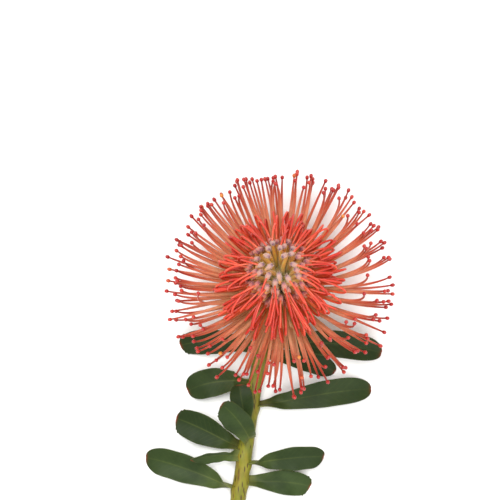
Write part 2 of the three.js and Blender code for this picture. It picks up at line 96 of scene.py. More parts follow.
# %% [markdown]
# ## Table and light
#
# The photograph has a white ground and soft light from everywhere, a little stronger from above. A wide
# lamp over the far end, a weaker one opposite and a bright, even sky give that. The standard view keeps the
# coral reds as strong as they are on the flower, where the filmic one would wash them out.


# %% Table, lamps and sky
def linear(text):
    """A colour written as rrggbb, made linear: ((c + 0.055) / 1.055) ^ 2.4 for each channel c."""
    channels = np.array([int(text[i:i + 2], 16) for i in (0, 2, 4)]) / 255
    return (*((channels + 0.055) / 1.055) ** 2.4, 1.0)


def plain_material(name, text, roughness):
    """A single colour with a roughness, for what isn't part of the flower."""
    material = bpy.data.materials.new(name)
    material.use_nodes = True
    shader = material.node_tree.nodes["Principled BSDF"]
    shader.inputs["Base Color"].default_value = linear(text)
    shader.inputs["Roughness"].default_value = roughness
    return material


def lamp(name, place, size, power):
    """A square area lamp, in metres, that shines on the bloom's middle."""
    data = bpy.data.lights.new(name, "AREA")
    data.size = size
    data.energy = power
    made = bpy.data.objects.new(name, data)
    made.location = place
    target = Vector((TIP_PLACE[0] * MM, TIP_PLACE[1] * MM, FOCUS_HEIGHT * MM))
    made.rotation_euler = (target - made.location).to_track_quat("-Z", "Y").to_euler()
    bpy.context.scene.collection.objects.link(made)


TABLE_HALF = 3
CORNER_SIGNS = ((-1, -1), (1, -1), (1, 1), (-1, 1))
SKY_STRENGTH = 0.62

table_mesh = bpy.data.meshes.new("table")
corners = [(TABLE_HALF * x, TABLE_HALF * y, 0) for x, y in CORNER_SIGNS]
table_mesh.from_pydata(corners, [], [(0, 1, 2, 3)])
table = bpy.data.objects.new("table", table_mesh)
table.data.materials.append(plain_material("pale table", "fafaf9", roughness=0.9))
bpy.context.scene.collection.objects.link(table)

lamp("far lamp", (-0.2, 0.35, 1.25), size=0.7, power=16)
lamp("near lamp", (0.4, -0.6, 1), size=1.1, power=9)
sky = bpy.data.worlds.new("even sky")
sky.use_nodes = True
sky.node_tree.nodes["Background"].inputs["Color"].default_value = linear("ffffff")
sky.node_tree.nodes["Background"].inputs["Strength"].default_value = SKY_STRENGTH
bpy.context.scene.world = sky
bpy.context.scene.view_settings.view_transform = "Standard"

# %% [markdown]
# ## Small sums that the shapes share
#
# Nothing here is random: a floret's own number goes through a sine whose last digits look like chance, so a
# style leans and curls its own way, and the same way each time. Lines are arrays with one row for each
# floret, one column for each step along it and x, y and z in millimetres.


# %% Sums
ALONG_X = np.array([1, 0, 0])


def unit(vectors):
    """Each vector at length one: v / |v|."""
    return vectors / np.linalg.norm(vectors, axis=-1, keepdims=True)


def mix(low, high, share):
    """From low at share 0 to high at share 1: low + (high - low) * share."""
    return low + (high - low) * share


def smooth(x, low, high):
    """0 below low, 1 above high, and t * t * (3 - 2 t) between them."""
    t = np.clip((x - low) / (high - low), 0, 1)
    return t * t * (3 - 2 * t)


def chance(number, use, low, high):
    """low + (high - low) * the fraction of 43758.5453 * sin(127.1 * number + 311.7 * use)."""
    x = np.sin(number * 127.1 + use * 311.7) * 43758.5453
    return mix(low, high, x - np.floor(x))


def dome(radius, share):
    """The radius of a dome at a share of its height: radius * sqrt(1 - share^2)."""
    return radius * np.sqrt(np.clip(1 - share**2, 0, 1))


def bezier(controls, t):
    """A curve pulled by its control points: neighbours are mixed at t, again and again, until one is left."""
    points = [np.asarray(c, float) * np.ones_like(t) for c in controls]
    while len(points) > 1:
        points = [mix(a, b, t) for a, b in zip(points, points[1:])]
    return points[0]


print("chance gives the first florets", chance(np.arange(4), 1, 0, 1).round(2))


# %% Circles and rings
def full_turn(count):
    """Turns spread evenly once round: 2 pi k / count."""
    return np.linspace(0, 2 * np.pi, count, endpoint=False)


def ways_across(ahead, aside):
    """Two ways square to the way ahead: a is aside with its part ahead taken away, and b = ahead x a."""
    a = unit(aside - (aside * ahead).sum(-1, keepdims=True) * ahead)
    return a, np.cross(ahead, a)


def circle(a, b, turns):
    """Ways round a circle, for each of the turns: a cos t + b sin t."""
    return a[..., None, :] * np.cos(turns)[:, None] + b[..., None, :] * np.sin(turns)[:, None]


def rings_round(lines, aside, radii, sides):
    """Rings round lines: line + radius * (a cos t + b sin t), with a and b the ways across the line."""
    a, b = ways_across(unit(np.gradient(lines, axis=-2)), aside)
    return lines[..., None, :] + np.asarray(radii)[..., None, None] * circle(a, b, full_turn(sides))


square_rings = rings_round(np.array([[0, 0, 0], [0, 0, 1]]), ALONG_X, 1, 4)
print("a line of two points gets", len(square_rings), "rings, here of", square_rings.shape[1], "points")

# %% [markdown]
# ## One way to make every mesh
#
# A style, a petal, a leaf and the stem are all the same kind of thing: a closed outline carried along a path.
# So one function takes the outlines as rings of points and makes a skin over them, with a small fan of
# triangles over each end. Every point can carry numbers, such as how far along its style it is, which the
# materials read. Each skin also gets its own cell on a flat map, so that its colours can be kept in an image.

# %% The flat map
PAINT_MAP = "OFBake"  # the name of the flat map
MAP_COLUMNS = 128
MARGIN_AROUND = 0.04
MARGIN_ALONG = 0.02


def map_places(count, around, along):
    """Places on the map: skin n has the cell in column n % columns and row n // columns, less a margin."""
    columns = min(count, MAP_COLUMNS)
    rows = -(-count // columns)
    cell = np.arange(count)[:, None, None]
    u = (cell % columns + mix(MARGIN_AROUND, 1 - MARGIN_AROUND, around)) / columns
    v = (cell // columns + mix(MARGIN_ALONG, 1 - MARGIN_ALONG, along)) / rows
    return np.stack([u, v], -1)


first_cell = map_places(4, np.array([0, 1]), np.array([0, 1]))[0, 0]
print("the first of four cells runs from", first_cell[0].round(2), "to", first_cell[1].round(2))


# %% Faces over rings
def skin_faces(count, stations, sides):
    """The faces over rings, as corner numbers, and each corner's place on the map."""
    s, k = np.meshgrid(np.arange(stations - 1), np.arange(sides), indexing="ij")
    after = (k + 1) % sides
    quads = np.stack([s * sides + k, s * sides + after, (s + 1) * sides + after, (s + 1) * sides + k], -1)
    around = np.stack([k, k + 1, k + 1, k], -1) / sides
    along = np.stack([s + 1, s + 1, s + 2, s + 2], -1) / (stations + 1)
    k, after, last = k[0], after[0], (stations - 1) * sides
    first_pole, end_pole = np.full(sides, stations * sides), np.full(sides, stations * sides + 1)
    fans = np.stack([[first_pole, after, k], [end_pole, last + k, last + after]]).transpose(0, 2, 1)
    fan_around = np.stack([[k + 0.5, k + 1, k], [k + 0.5, k, k + 1]]).transpose(0, 2, 1) / sides
    low, high = 1 / (stations + 1), stations / (stations + 1)
    fan_along = np.array([[0, low, low], [1, high, high]])[:, None] * np.ones((1, sides, 1))
    start = (np.arange(count) * (stations * sides + 2))[:, None, None]
    quad_map = map_places(count, around.reshape(1, -1, 4), along.reshape(1, -1, 4))
    fan_map = map_places(count, fan_around.reshape(1, -1, 3), fan_along.reshape(1, -1, 3))
    faces = [*(quads.reshape(-1, 4) + start).reshape(-1, 4), *(fans.reshape(-1, 3) + start).reshape(-1, 3)]
    return faces, np.concatenate([quad_map.reshape(-1, 2), fan_map.reshape(-1, 2)])


print("a skin over 4 rings of 6 points has", len(skin_faces(1, 4, 6)[0]), "faces")


# %% Skins
def skin(name, rings, material, slot, nodes, **numbers):
    """A piece with a closed skin over each row of rings, which stands for some of the frame's solids.
    Each of the numbers becomes an attribute of its points, and an end takes its ring's mean."""
    count, stations, sides = rings.shape[:3]
    poles = rings[:, [0, -1]].mean(2)
    places = np.concatenate([rings.reshape(count, -1, 3), poles], 1).reshape(-1, 3)
    faces, flat = skin_faces(count, stations, sides)
    mesh = bpy.data.meshes.new(name)
    mesh.from_pydata(places * MM, [], faces)
    mesh.uv_layers.new(name=PAINT_MAP).uv.foreach_set("vector", flat.astype(np.float32).ravel())
    for title, field in numbers.items():
        field = np.broadcast_to(field, (count, stations, sides))
        values = np.concatenate([field.reshape(count, -1), field[:, [0, -1]].mean(2)], 1)
        made = mesh.attributes.new(title, "FLOAT", "POINT")
        made.data.foreach_set("value", values.astype(np.float32).ravel())
    mesh.shade_smooth()
    mesh.materials.append(material)
    piece = bpy.data.objects.new(name, mesh)
    bpy.context.scene.collection.objects.link(piece)
    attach(piece, "root")
    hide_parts(*nodes)
    triangles = count * sides * (2 * (stations - 1) + 2)
    print(f"{name}: {count} skins, {triangles} triangles")


print("one millimetre is", MM, "of the frame's metres")

# %% [markdown]
# ## Colours that live
#
# No part of a flower is one flat colour. Each material starts from a run of colours along the part, moves
# every floret a little towards a second run, and is mottled by a fine noise, which also makes the surface
# slightly uneven. The mottling is the same everywhere, so it is one node group with its own values for each.


# %% The mottling group
def socket(group, title, kind, direction, value=None):
    """One named input or output of a node group."""
    made = group.interface.new_socket(title, in_out=direction, socket_type="NodeSocket" + kind)
    if value is not None:
        made.default_value = value


def mottling_group():
    """Mixes a colour towards a second one where a noise of the given scale is high, and gives a height."""
    group = bpy.data.node_groups.new("living mottling", "ShaderNodeTree")
    socket(group, "Color", "Color", "INPUT")
    socket(group, "Speck Color", "Color", "INPUT")
    socket(group, "Scale", "Float", "INPUT", 300.0)
    socket(group, "Amount", "Float", "INPUT", 0.3)
    socket(group, "Color", "Color", "OUTPUT")
    socket(group, "Height", "Float", "OUTPUT")
    nodes, links = group.nodes, group.links
    inside, outside = nodes.new("NodeGroupInput"), nodes.new("NodeGroupOutput")
    place = nodes.new("ShaderNodeTexCoord")
    noise = nodes.new("ShaderNodeTexNoise")
    noise.inputs["Detail"].default_value = 4
    noise.inputs["Roughness"].default_value = 0.6
    links.new(place.outputs["Object"], noise.inputs["Vector"])
    links.new(inside.outputs["Scale"], noise.inputs["Scale"])
    spread = nodes.new("ShaderNodeMapRange")
    spread.inputs["From Min"].default_value = 0.42
    spread.inputs["From Max"].default_value = 0.68
    links.new(noise.outputs["Fac"], spread.inputs["Value"])
    share = nodes.new("ShaderNodeMath")
    share.operation = "MULTIPLY"
    links.new(spread.outputs["Result"], share.inputs[0])
    links.new(inside.outputs["Amount"], share.inputs[1])
    blend = nodes.new("ShaderNodeMix")
    blend.data_type = "RGBA"
    links.new(share.outputs[0], blend.inputs["Factor"])
    links.new(inside.outputs["Color"], blend.inputs["A"])
    links.new(inside.outputs["Speck Color"], blend.inputs["B"])
    links.new(blend.outputs["Result"], outside.inputs["Color"])
    links.new(noise.outputs["Fac"], outside.inputs["Height"])
    return group


MOTTLING = mottling_group()
print("mottling group:", len(MOTTLING.nodes), "nodes")


# %% Building a material from its runs of colour
class Paint:
    """A material under construction: its nodes, and the shader that they feed."""

    def __init__(self, name, roughness, **shader_values):
        self.material = bpy.data.materials.new(name)
        self.material.use_nodes = True
        self.nodes = self.material.node_tree.nodes
        self.links = self.material.node_tree.links
        self.shader = self.nodes["Principled BSDF"]
        self.shader.inputs["Roughness"].default_value = roughness
        for title, value in shader_values.items():
            self.shader.inputs[title.replace("_", " ")].default_value = value

    def number(self, title):
        """The number that a piece's points carry under a title."""
        node = self.nodes.new("ShaderNodeAttribute")
        node.attribute_name = title
        return node.outputs["Fac"]

    def run(self, number, stops):
        """Colours at places from 0 to 1 along a number."""
        node = self.nodes.new("ShaderNodeValToRGB")
        elements = node.color_ramp.elements
        while len(elements) < len(stops):
            elements.new(0.5)
        for element, (place, text) in zip(elements, stops):
            element.position = place
            element.color = linear(text)
        self.links.new(number, node.inputs["Fac"])
        return node.outputs["Color"]

    def mixed(self, share, first, second):
        """The first colour where share is 0 and the second where it is 1."""
        node = self.nodes.new("ShaderNodeMix")
        node.data_type = "RGBA"
        self.links.new(share, node.inputs["Factor"])
        self.links.new(first, node.inputs["A"])
        self.links.new(second, node.inputs["B"])
        return node.outputs["Result"]

    def two_runs(self, title, first, second):
        """Two runs of colour along a part, mixed by the number under the title."""
        along = self.number("along")
        return self.mixed(self.number(title), self.run(along, first), self.run(along, second))

    def sum(self, operation, first, second):
        """Two numbers put together, by the name of a sum."""
        node = self.nodes.new("ShaderNodeMath")
        node.operation = operation
        for value, entry in zip((first, second), node.inputs):
            if isinstance(value, (int, float)):
                entry.default_value = value
            else:
                self.links.new(value, entry)
        return node.outputs[0]

    def finish(self, colour, speck, scale, amount, bump, rise=0.0002):
        """Mottles the colour, gives the surface a slight unevenness and returns the material."""
        mottled = self.nodes.new("ShaderNodeGroup")
        mottled.node_tree = MOTTLING
        mottled.inputs["Speck Color"].default_value = linear(speck)
        mottled.inputs["Scale"].default_value = scale
        mottled.inputs["Amount"].default_value = amount
        self.links.new(colour, mottled.inputs["Color"])
        self.links.new(mottled.outputs["Color"], self.shader.inputs["Base Color"])
        uneven = self.nodes.new("ShaderNodeBump")
        uneven.inputs["Strength"].default_value = bump
        uneven.inputs["Distance"].default_value = rise
        self.links.new(mottled.outputs["Height"], uneven.inputs["Height"])
        self.links.new(uneven.outputs["Normal"], self.shader.inputs["Normal"])
        return self.material


print("a coral red, made linear:", np.round(linear("c6301e")[:3], 3))

# %% [markdown]
# ## Where the head stands and where its florets grow
#
# The head's own Z runs from its foot to its tip. It is tilted back along the stem and a touch to the left,
# and the stem reaches its foot from below. The open florets stand in three spirals of the golden angle, the
# others in one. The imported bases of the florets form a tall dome, the sleeve, with a small cap on top for the
# closed ones, and every floret is rooted a little below their surface.

# %% The head
HEAD_HEIGHT = 62
HEAD_TILT = np.radians(14)
HEAD_LEAN = np.radians(2.5)
HEAD_FOOT_HEIGHT = 14.5
head_axis = np.array([-np.sin(HEAD_LEAN), np.sin(HEAD_TILT), 0])
head_axis[2] = np.sqrt(1 - head_axis @ head_axis)
head_foot = np.array([*(TIP_PLACE - HEAD_HEIGHT * head_axis[:2]), HEAD_FOOT_HEIGHT])
HEAD_TURN = np.stack([*ways_across(head_axis, ALONG_X), head_axis])
print("head's foot at", head_foot.round(1), "mm")

# %% Its places, sleeve and cap
SLEEVE_RADIUS = 9.5
SLEEVE_HEIGHT = 31
CAP_RADIUS = 4.5
CAP_FOOT = 25.5
CAP_TOP = 31.5


def on_frame(points):
    """Points of the head in the frame: foot + x * across + y * forward + z * axis."""
    return head_foot + points @ HEAD_TURN


def in_head(angle, out, height, aside=0):
    """A point at an angle round the head's axis, a distance out, a height, and a distance aside."""
    c, s = np.cos(angle), np.sin(angle)
    return np.stack(np.broadcast_arrays(out * c - aside * s, out * s + aside * c, height), -1)


def sleeve_radius(height):
    """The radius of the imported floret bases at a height."""
    return dome(SLEEVE_RADIUS, height / SLEEVE_HEIGHT)


def cap_radius(height):
    """The radius of the closed florets' own bases at a height."""
    return dome(CAP_RADIUS, (height - CAP_FOOT) / (CAP_TOP - CAP_FOOT))


print("halfway up, the sleeve is", (2 * sleeve_radius(SLEEVE_HEIGHT / 2)).round(1), "mm across")

# %% Its florets
FLORETS = 348
OPEN_FLORETS = 198
CLOSED_FLORETS = 4
OPEN_ROOTS = (3.6, 11.6)
OPENING_ROOTS = (14, 23.8)
CLOSED_ROOTS = (26.6, 30.6)
ROOT_DEPTH = 0.9
GOLDEN_ANGLE = np.radians(137.508)
NEXT_SPIRAL_TURN = np.radians(74)
TURN_SPREAD = 9


def loose_spiral(number):
    """The angle of a floret: the golden angle once for each number, a little off its place."""
    return number * GOLDEN_ANGLE + np.radians(chance(number, 7, -TURN_SPREAD, TURN_SPREAD))


def three_spirals(number):
    """The golden angle once for every three florets, which stand a fixed turn from one to the next."""
    return number // 3 * GOLDEN_ANGLE + number % 3 * NEXT_SPIRAL_TURN


def florets(first, count, roots, base, angle_of):
    """Florets of one kind, with roots evenly spread over two heights, in columns for their steps."""
    number = first + np.arange(count)[:, None]
    share = (number - first) / (count - 1)
    height = mix(*roots, share)
    return {"number": number, "share": share, "angle": angle_of(number), "height": height,
            "out": base(height) - ROOT_DEPTH, "aside": in_head(angle_of(number), 0, 0, 1)}


opening_count = FLORETS - OPEN_FLORETS - CLOSED_FLORETS
open_florets = florets(0, OPEN_FLORETS, OPEN_ROOTS, sleeve_radius, three_spirals)
opening_florets = florets(OPEN_FLORETS, opening_count, OPENING_ROOTS, sleeve_radius, loose_spiral)
closed_florets = florets(FLORETS - CLOSED_FLORETS, CLOSED_FLORETS, CLOSED_ROOTS, cap_radius, loose_spiral)
print("florets:", OPEN_FLORETS, "open,", opening_count, "looped,", CLOSED_FLORETS, "closed")


# %% Helpers for rows of florets
def tone(floret, use):
    """A number from 0 to 1 for each floret, to mix its colours by."""
    return chance(floret["number"], use, 0, 1)[..., None]


def floret_rings(floret, lines, radii, sides):
    """Rings in the frame round the florets' lines, which are given in the head."""
    return rings_round(on_frame(lines), floret["aside"] @ HEAD_TURN, radii, sides)


print("tones of the closed florets:", tone(closed_florets, 8).ravel().round(2))

# %% [markdown]
# ## Free styles
#
# A style is the long pin of an open floret. Bevelled curves could make them, but with whole arrays of points
# each style gets its own lean, curl and taper in a few lines. A style is followed step by step: its angle to
# the head's axis is its lean, plus a flare near the root of an inner one, less the curl of its end, and the
# sine and cosine of that angle add up to the line. So it starts almost flat at the rim and steeper further
# in. It tapers from its root, and ends in a pollen knob, an egg shape a little longer than two widths of the
# style. Ranges run from the rim to the innermost style, or from the least to the most that chance gives.

# %% Lines of the free styles
STYLE_STEPS = 24
STYLE_LENGTH = (49.5, 55.5)
LENGTH_SPREAD = (0.97, 1.03)
STYLE_LEAN = (94, 53)
LEAN_SPREAD = 4
INNER_FLARE = 28
FLARE_END = 0.5
STYLE_CURL = (32, 68)
CURL_START = 0.3
CURL_POWER = 1.7
STYLE_SWAY = 4


def style_lines(floret):
    """Lines of the free styles, a root and then each step. At a share t of the length the angle is
    lean + flare * (1 - t / FLARE_END)^2 - curl * ((t - CURL_START) / (1 - CURL_START))^CURL_POWER."""
    number, share = floret["number"], floret["share"]
    along = (np.arange(STYLE_STEPS) + 0.5) / STYLE_STEPS
    lean = mix(*STYLE_LEAN, share) + chance(number, 1, -LEAN_SPREAD, LEAN_SPREAD)
    flare = share * INNER_FLARE * np.clip(1 - along / FLARE_END, 0, 1) ** 2
    curled = np.clip((along - CURL_START) / (1 - CURL_START), 0, 1) ** CURL_POWER
    angle = np.radians(lean + flare - chance(number, 2, *STYLE_CURL) * curled)
    step = mix(*STYLE_LENGTH, share) * chance(number, 4, *LENGTH_SPREAD) / STYLE_STEPS
    out = floret["out"] + step * np.cumsum(np.sin(angle), 1)
    height = floret["height"] + step * np.cumsum(np.cos(angle), 1)
    swayed = (np.arange(1, STYLE_STEPS + 1) / STYLE_STEPS) ** 2
    sway = chance(number, 3, -STYLE_SWAY, STYLE_SWAY) * swayed
    root = in_head(floret["angle"], floret["out"], floret["height"])
    return np.concatenate([root, in_head(floret["angle"], out, height, sway)], 1)


free_lines = style_lines(open_florets)
print("free styles reach", np.linalg.norm(free_lines[..., :2], axis=-1).max().round(1), "mm out")

# %% Their girths and knobs
STYLE_RADIUS = 0.6
STYLE_SIDES = 7
STYLE_SHARES = (0, 0.4, 0.6, 0.8, 1)
STYLE_GIRTHS = (1.65, 1.55, 1.3, 1, 0.72)
KNOB_RADIUS = 1.05
KNOB_LENGTH = 2.8
KNOB_SHARES = np.array([0.12, 0.3, 0.52, 0.74, 0.9, 1])
KNOB_GIRTHS = np.array([0.6, 0.86, 1, 0.9, 0.62, 0.28])

ahead = unit(free_lines[:, -1:] - free_lines[:, -2:-1])
knob_lines = free_lines[:, -1:] + KNOB_SHARES[:, None] * KNOB_LENGTH * ahead
shaft_along = np.linspace(0, 1, STYLE_STEPS + 1)
shaft_radii = np.interp(shaft_along, STYLE_SHARES, STYLE_GIRTHS) * STYLE_RADIUS
style_radii = np.concatenate([shaft_radii, KNOB_GIRTHS * KNOB_RADIUS])
style_along = np.concatenate([shaft_along, np.ones(len(KNOB_SHARES))])
in_knob = np.concatenate([np.zeros(STYLE_STEPS + 1), np.ones(len(KNOB_SHARES))])
print("a style is", (2 * shaft_radii[[0, -1]]).round(2), "mm thick at its root and its end")


# %% Skins of the free styles
def style_material():
    """Straw yellow at the root, then salmon, coral red and a dark red at the end. The knob is crimson, and
    on a few styles orange."""
    paint = Paint("free style", 0.38, Subsurface_Weight=0.12, Subsurface_Scale=0.001)
    rosy = [(0, "c8b04c"), (0.3, "d8986a"), (0.55, "d67c58"), (0.78, "c0523a"), (1, "9a2a22")]
    pale = [(0, "ccbc5a"), (0.35, "e4b486"), (0.62, "e09c78"), (0.85, "cc6e50"), (1, "a83c2e")]
    knobs = [(0, "9a1818"), (0.6, "ac241e"), (0.93, "b83828"), (0.97, "cf8236")]
    knob = paint.run(paint.number("floret"), knobs)
    colour = paint.mixed(paint.number("knob"), paint.two_runs("floret", rosy, pale), knob)
    return paint.finish(colour, "b8452f", scale=420, amount=0.25, bump=0.2)


whole_lines = np.concatenate([free_lines, knob_lines], 1)
style_rings = floret_rings(open_florets, whole_lines, style_radii, STYLE_SIDES)
skin("free_styles", style_rings, style_material(), "open_style", ["open_florets"],
     along=style_along[:, None], knob=in_knob[:, None], floret=tone(open_florets, 8))

# %% [markdown]
# ## Rolled petals
#
# The four petals of a floret start out as a tube. When the style springs free they split and roll back on
# themselves like wood shavings, close to the head. Two ribbons lie under each style, a little to its left and
# right. A ribbon's outline is a flat loop of six points, carried along a straight way and then round a coil.
# Six points are enough for a shape that is repeated hundreds of times.

# %% Petal ribbons
PETAL_HALF_WIDTH = 0.95
PETAL_HALF_THICKNESS = 0.16
PETAL_SECTION = np.array([[-1, 0], [-0.6, 0.8], [0.6, 0.8], [1, 0], [0.6, -0.8], [-0.6, -0.8]])
PETAL_WIDTHS = (0.45, 1, 0.5)  # at the root, where the coil begins and at the end
PETAL_STRAIGHT = 10
PETAL_STRAIGHT_STEPS = 6
PETAL_SPREAD = (0.85, 1.15)
PETAL_COIL_STEPS = 12
PETAL_COIL_TURN = np.radians(24)
PETAL_COIL_STEP = (1.1, 0.5)
STYLE_STEP_BESIDE = 6  # a ribbon runs the way that its style takes up to this step
PETAL_SPLAY = 0.1
PETAL_ASIDE = 0.55
PETAL_BELOW = 0.9
PETAL_FALL = 0.03


def petal_rings(floret, lines, side):
    """Rings of one ribbon for each floret: straight on under the style, then round a coil whose steps
    shrink while it turns. Points are line + aside * width * u + normal * thickness * v."""
    number, aside = floret["number"][..., None], floret["aside"]
    style_way = unit(lines[:, [STYLE_STEP_BESIDE]] - lines[:, :1])
    below = unit(np.cross(aside, style_way))
    along = unit(style_way + PETAL_SPLAY * side * aside)
    length = chance(number, 10 + side, *PETAL_SPREAD)
    straight = np.linspace(0, 1, PETAL_STRAIGHT_STEPS)[:, None] * PETAL_STRAIGHT * length
    turn = np.arange(1, PETAL_COIL_STEPS + 1)[:, None] * PETAL_COIL_TURN
    step = mix(*PETAL_COIL_STEP, np.linspace(0, 1, PETAL_COIL_STEPS)[:, None])
    ahead = np.cumsum(step * np.cos(turn - PETAL_COIL_TURN / 2), 0) + straight[:, -1:]
    down = np.cumsum(step * np.sin(turn - PETAL_COIL_TURN / 2), 0) * np.ones_like(number)
    forward = np.concatenate([straight, ahead], 1)
    lower = np.concatenate([np.zeros_like(straight), down], 1) + PETAL_BELOW + PETAL_FALL * forward
    middle = lines[:, :1] + forward * along + lower * below + side * PETAL_ASIDE * aside
    angle = np.concatenate([np.zeros((PETAL_STRAIGHT_STEPS, 1)), turn])
    normal = -np.cos(angle) * below + np.sin(angle) * along
    widening = np.linspace(*PETAL_WIDTHS[:2], PETAL_STRAIGHT_STEPS)
    narrowing = np.linspace(*PETAL_WIDTHS[1:], PETAL_COIL_STEPS)
    flat = PETAL_SECTION * [PETAL_HALF_WIDTH, PETAL_HALF_THICKNESS]
    wide = np.concatenate([widening, narrowing])[:, None, None] * flat[:, :1] * aside[:, :, None]
    return middle[:, :, None] + wide + flat[:, 1:] * normal[:, :, None]


petals = np.concatenate([petal_rings(open_florets, free_lines, side) for side in (-1, 1)])
print("ribbons:", len(petals), "with", petals.shape[1], "rings each")


# %% Skins of the petals
def petal_material():
    """Straw yellow where a ribbon starts, then peach and orange, and mauve where it ends."""
    paint = Paint("rolled petal", 0.5, Subsurface_Weight=0.15, Subsurface_Scale=0.001)
    warm = [(0, "c9c07a"), (0.25, "e9b27a"), (0.6, "e68a58"), (0.9, "cf8a74"), (1, "b79a96")]
    pale = [(0, "cfc98a"), (0.3, "efc593"), (0.65, "eba272"), (0.9, "d5a08c"), (1, "bda6a4")]
    return paint.finish(paint.two_runs("floret", warm, pale), "c8743f", scale=380, amount=0.3, bump=0.25)


petal_tone = chance(np.arange(len(petals))[:, None, None], 9, 0, 1)
skin("rolled_petals", on_frame(petals), petal_material(), "open_style", ["open_florets"],
     along=np.linspace(0, 1, petals.shape[1])[:, None], floret=petal_tone)

# %% [markdown]
# ## Unopened florets
#
# An unopened floret is a slender tube that leans out and ends in a swollen, woolly tip. The tips are spread
# over a ball: equal steps down from its top cut rings of equal area from it, so the golden angle spaces
# them evenly. A power under one crowds them lower down, where the loops hide them. A tube's line is a
# straight way from root to tip that bows outwards by share^4 * (1 - share), so that its tip leans in.

# %% Lines of the tubes
TUBE_BOW = 48
TUBE_BOW_POWER = 4
LIMB_LENGTH = 4.4
BALL_RADIUS = 14.5
BALL_ROUGHNESS = 1.5
BALL_MIDDLE = 42
BALL_SPAN = np.radians(120)
BALL_CROWDING = 0.8


def tube_points(floret, share):
    """Distances out and heights of the tubes at shares of their length."""
    counted = (FLORETS - floret["number"] - 0.5) / (FLORETS - OPEN_FLORETS)
    up = 1 - (1 - np.cos(BALL_SPAN)) * counted**BALL_CROWDING
    radius = BALL_RADIUS + chance(floret["number"], 15, -BALL_ROUGHNESS, BALL_ROUGHNESS)
    out = mix(floret["out"], dome(radius, up), share) + TUBE_BOW * share**TUBE_BOW_POWER * (1 - share)
    return out, mix(floret["height"], mix(BALL_MIDDLE, HEAD_HEIGHT, up), share)


def tube_lines(floret, share):
    """The tubes' lines in the head, with a column for each share."""
    return in_head(floret["angle"], *tube_points(floret, share))


def tube_neck(floret):
    """The share of a tube's length where its woolly tip begins."""
    (out, high), (root_out, root_high) = tube_points(floret, 1), tube_points(floret, 0)
    return 1 - LIMB_LENGTH / np.hypot(out - root_out, high - root_high)


unopened = {key: np.concatenate([opening_florets[key], closed_florets[key]]) for key in opening_florets}
neck = tube_neck(unopened)
print("tubes:", len(neck), "necks at", neck.min().round(2), "to", neck.max().round(2))


# %% Skins of the tubes
TUBE_RADIUS = 1.2
TUBE_SIDES = 8
TUBE_STATIONS = 15
TUBE_SHARES = (0, 0.5, 0.85, 1)
TUBE_GIRTHS = (1, 1, 0.8, 0.5)
INTO_TIP = 0.02
UNOPENED_NODES = ["looped_florets", "closed_florets"]

tube_along = np.linspace(0, 1, TUBE_STATIONS)
tube_radii = np.interp(tube_along, TUBE_SHARES, TUBE_GIRTHS) * TUBE_RADIUS
tube_middles = tube_lines(unopened, tube_along * (neck + INTO_TIP))


def tube_material():
    """Olive green low down, then straw yellow and a dull orange where it ends, downy all over."""
    paint = Paint("floret tube", 0.6, Sheen_Weight=0.25, Subsurface_Weight=0.3, Subsurface_Scale=0.002)
    olive = [(0, "b8b830"), (0.45, "e0b438"), (0.8, "eaa83c"), (1, "d89450")]
    straw = [(0, "c8ca3c"), (0.45, "e8c242"), (0.8, "f0b248"), (1, "dc9e58")]
    return paint.finish(paint.two_runs("floret", olive, straw), "b07a1e", scale=500, amount=0.4, bump=0.4)


skin("floret_tubes", floret_rings(unopened, tube_middles, tube_radii, TUBE_SIDES), tube_material(),
     "closed_floret", UNOPENED_NODES, along=tube_along[:, None], floret=tone(unopened, 8))

# %% [markdown]
# ## Woolly tips
#
# The four petals meet in a swollen tip, so its outline is a circle with four shallow lobes. It is dusky pink
# under its wool. The wool is a few dozen hairs to a tip. Particle hair isn't kept when the pieces are
# exported, so each hair is a thin mesh with three sides. It starts on the tip's surface, at a place on a
# spiral round it, and leans forwards while it stands out.

# %% Tips
LIMB_RADIUS = 1.15
LIMB_SHARES = np.array([0, 0.08, 0.22, 0.4, 0.58, 0.76, 0.9, 0.97, 1])
LIMB_GIRTHS = np.array([0.5, 0.62, 0.84, 0.98, 1, 0.88, 0.64, 0.4, 0.2])
LIMB_SIDES = 12
LOBES = 4
LOBE_DEPTH = 0.09
ROSINESS_SPREAD = 0.12
ROSY_BETWEEN = (0.06, 0.3)

limb_start = on_frame(tube_lines(unopened, neck))
limb_end = on_frame(tube_lines(unopened, np.ones_like(neck)))
limb_ahead = unit(limb_end - limb_start)
limb_a, limb_b = ways_across(limb_ahead, unopened["aside"] @ HEAD_TURN)
limb_lines = mix(limb_start, limb_end, LIMB_SHARES[:, None])
limb_turns = full_turn(LIMB_SIDES)
lobed = LIMB_RADIUS * LIMB_GIRTHS[:, None] * (1 + LOBE_DEPTH * np.cos(LOBES * limb_turns))
limb_rings = limb_lines[:, :, None] + lobed[..., None] * circle(limb_a, limb_b, limb_turns)


def limb_material():
    """Ochre where it starts, then dusky pink, with a purple spot at the very end. The lower florets are
    rosier."""
    paint = Paint("woolly tip", 0.85, Sheen_Weight=0.4)
    mauve = [(0, "c49250"), (0.3, "c89874"), (0.8, "bc9288"), (0.96, "805c68"), (1, "583e4c")]
    rosy = [(0, "d87838"), (0.3, "d87450"), (0.75, "cc6e5c"), (0.93, "984a54"), (1, "743848")]
    return paint.finish(paint.two_runs("rosy", mauve, rosy), "a4625e", scale=900, amount=0.4, bump=0.5)


def rosiness(number):
    """0 for the florets near the head's tip, rising to 1 for those further down, a little by chance."""
    counted = (FLORETS - number) / (FLORETS - OPEN_FLORETS)
    return smooth(counted + chance(number, 17, -ROSINESS_SPREAD, ROSINESS_SPREAD), *ROSY_BETWEEN)


skin("woolly_tips", limb_rings, limb_material(), "closed_floret", UNOPENED_NODES,
     along=LIMB_SHARES[:, None], rosy=rosiness(unopened["number"])[..., None])

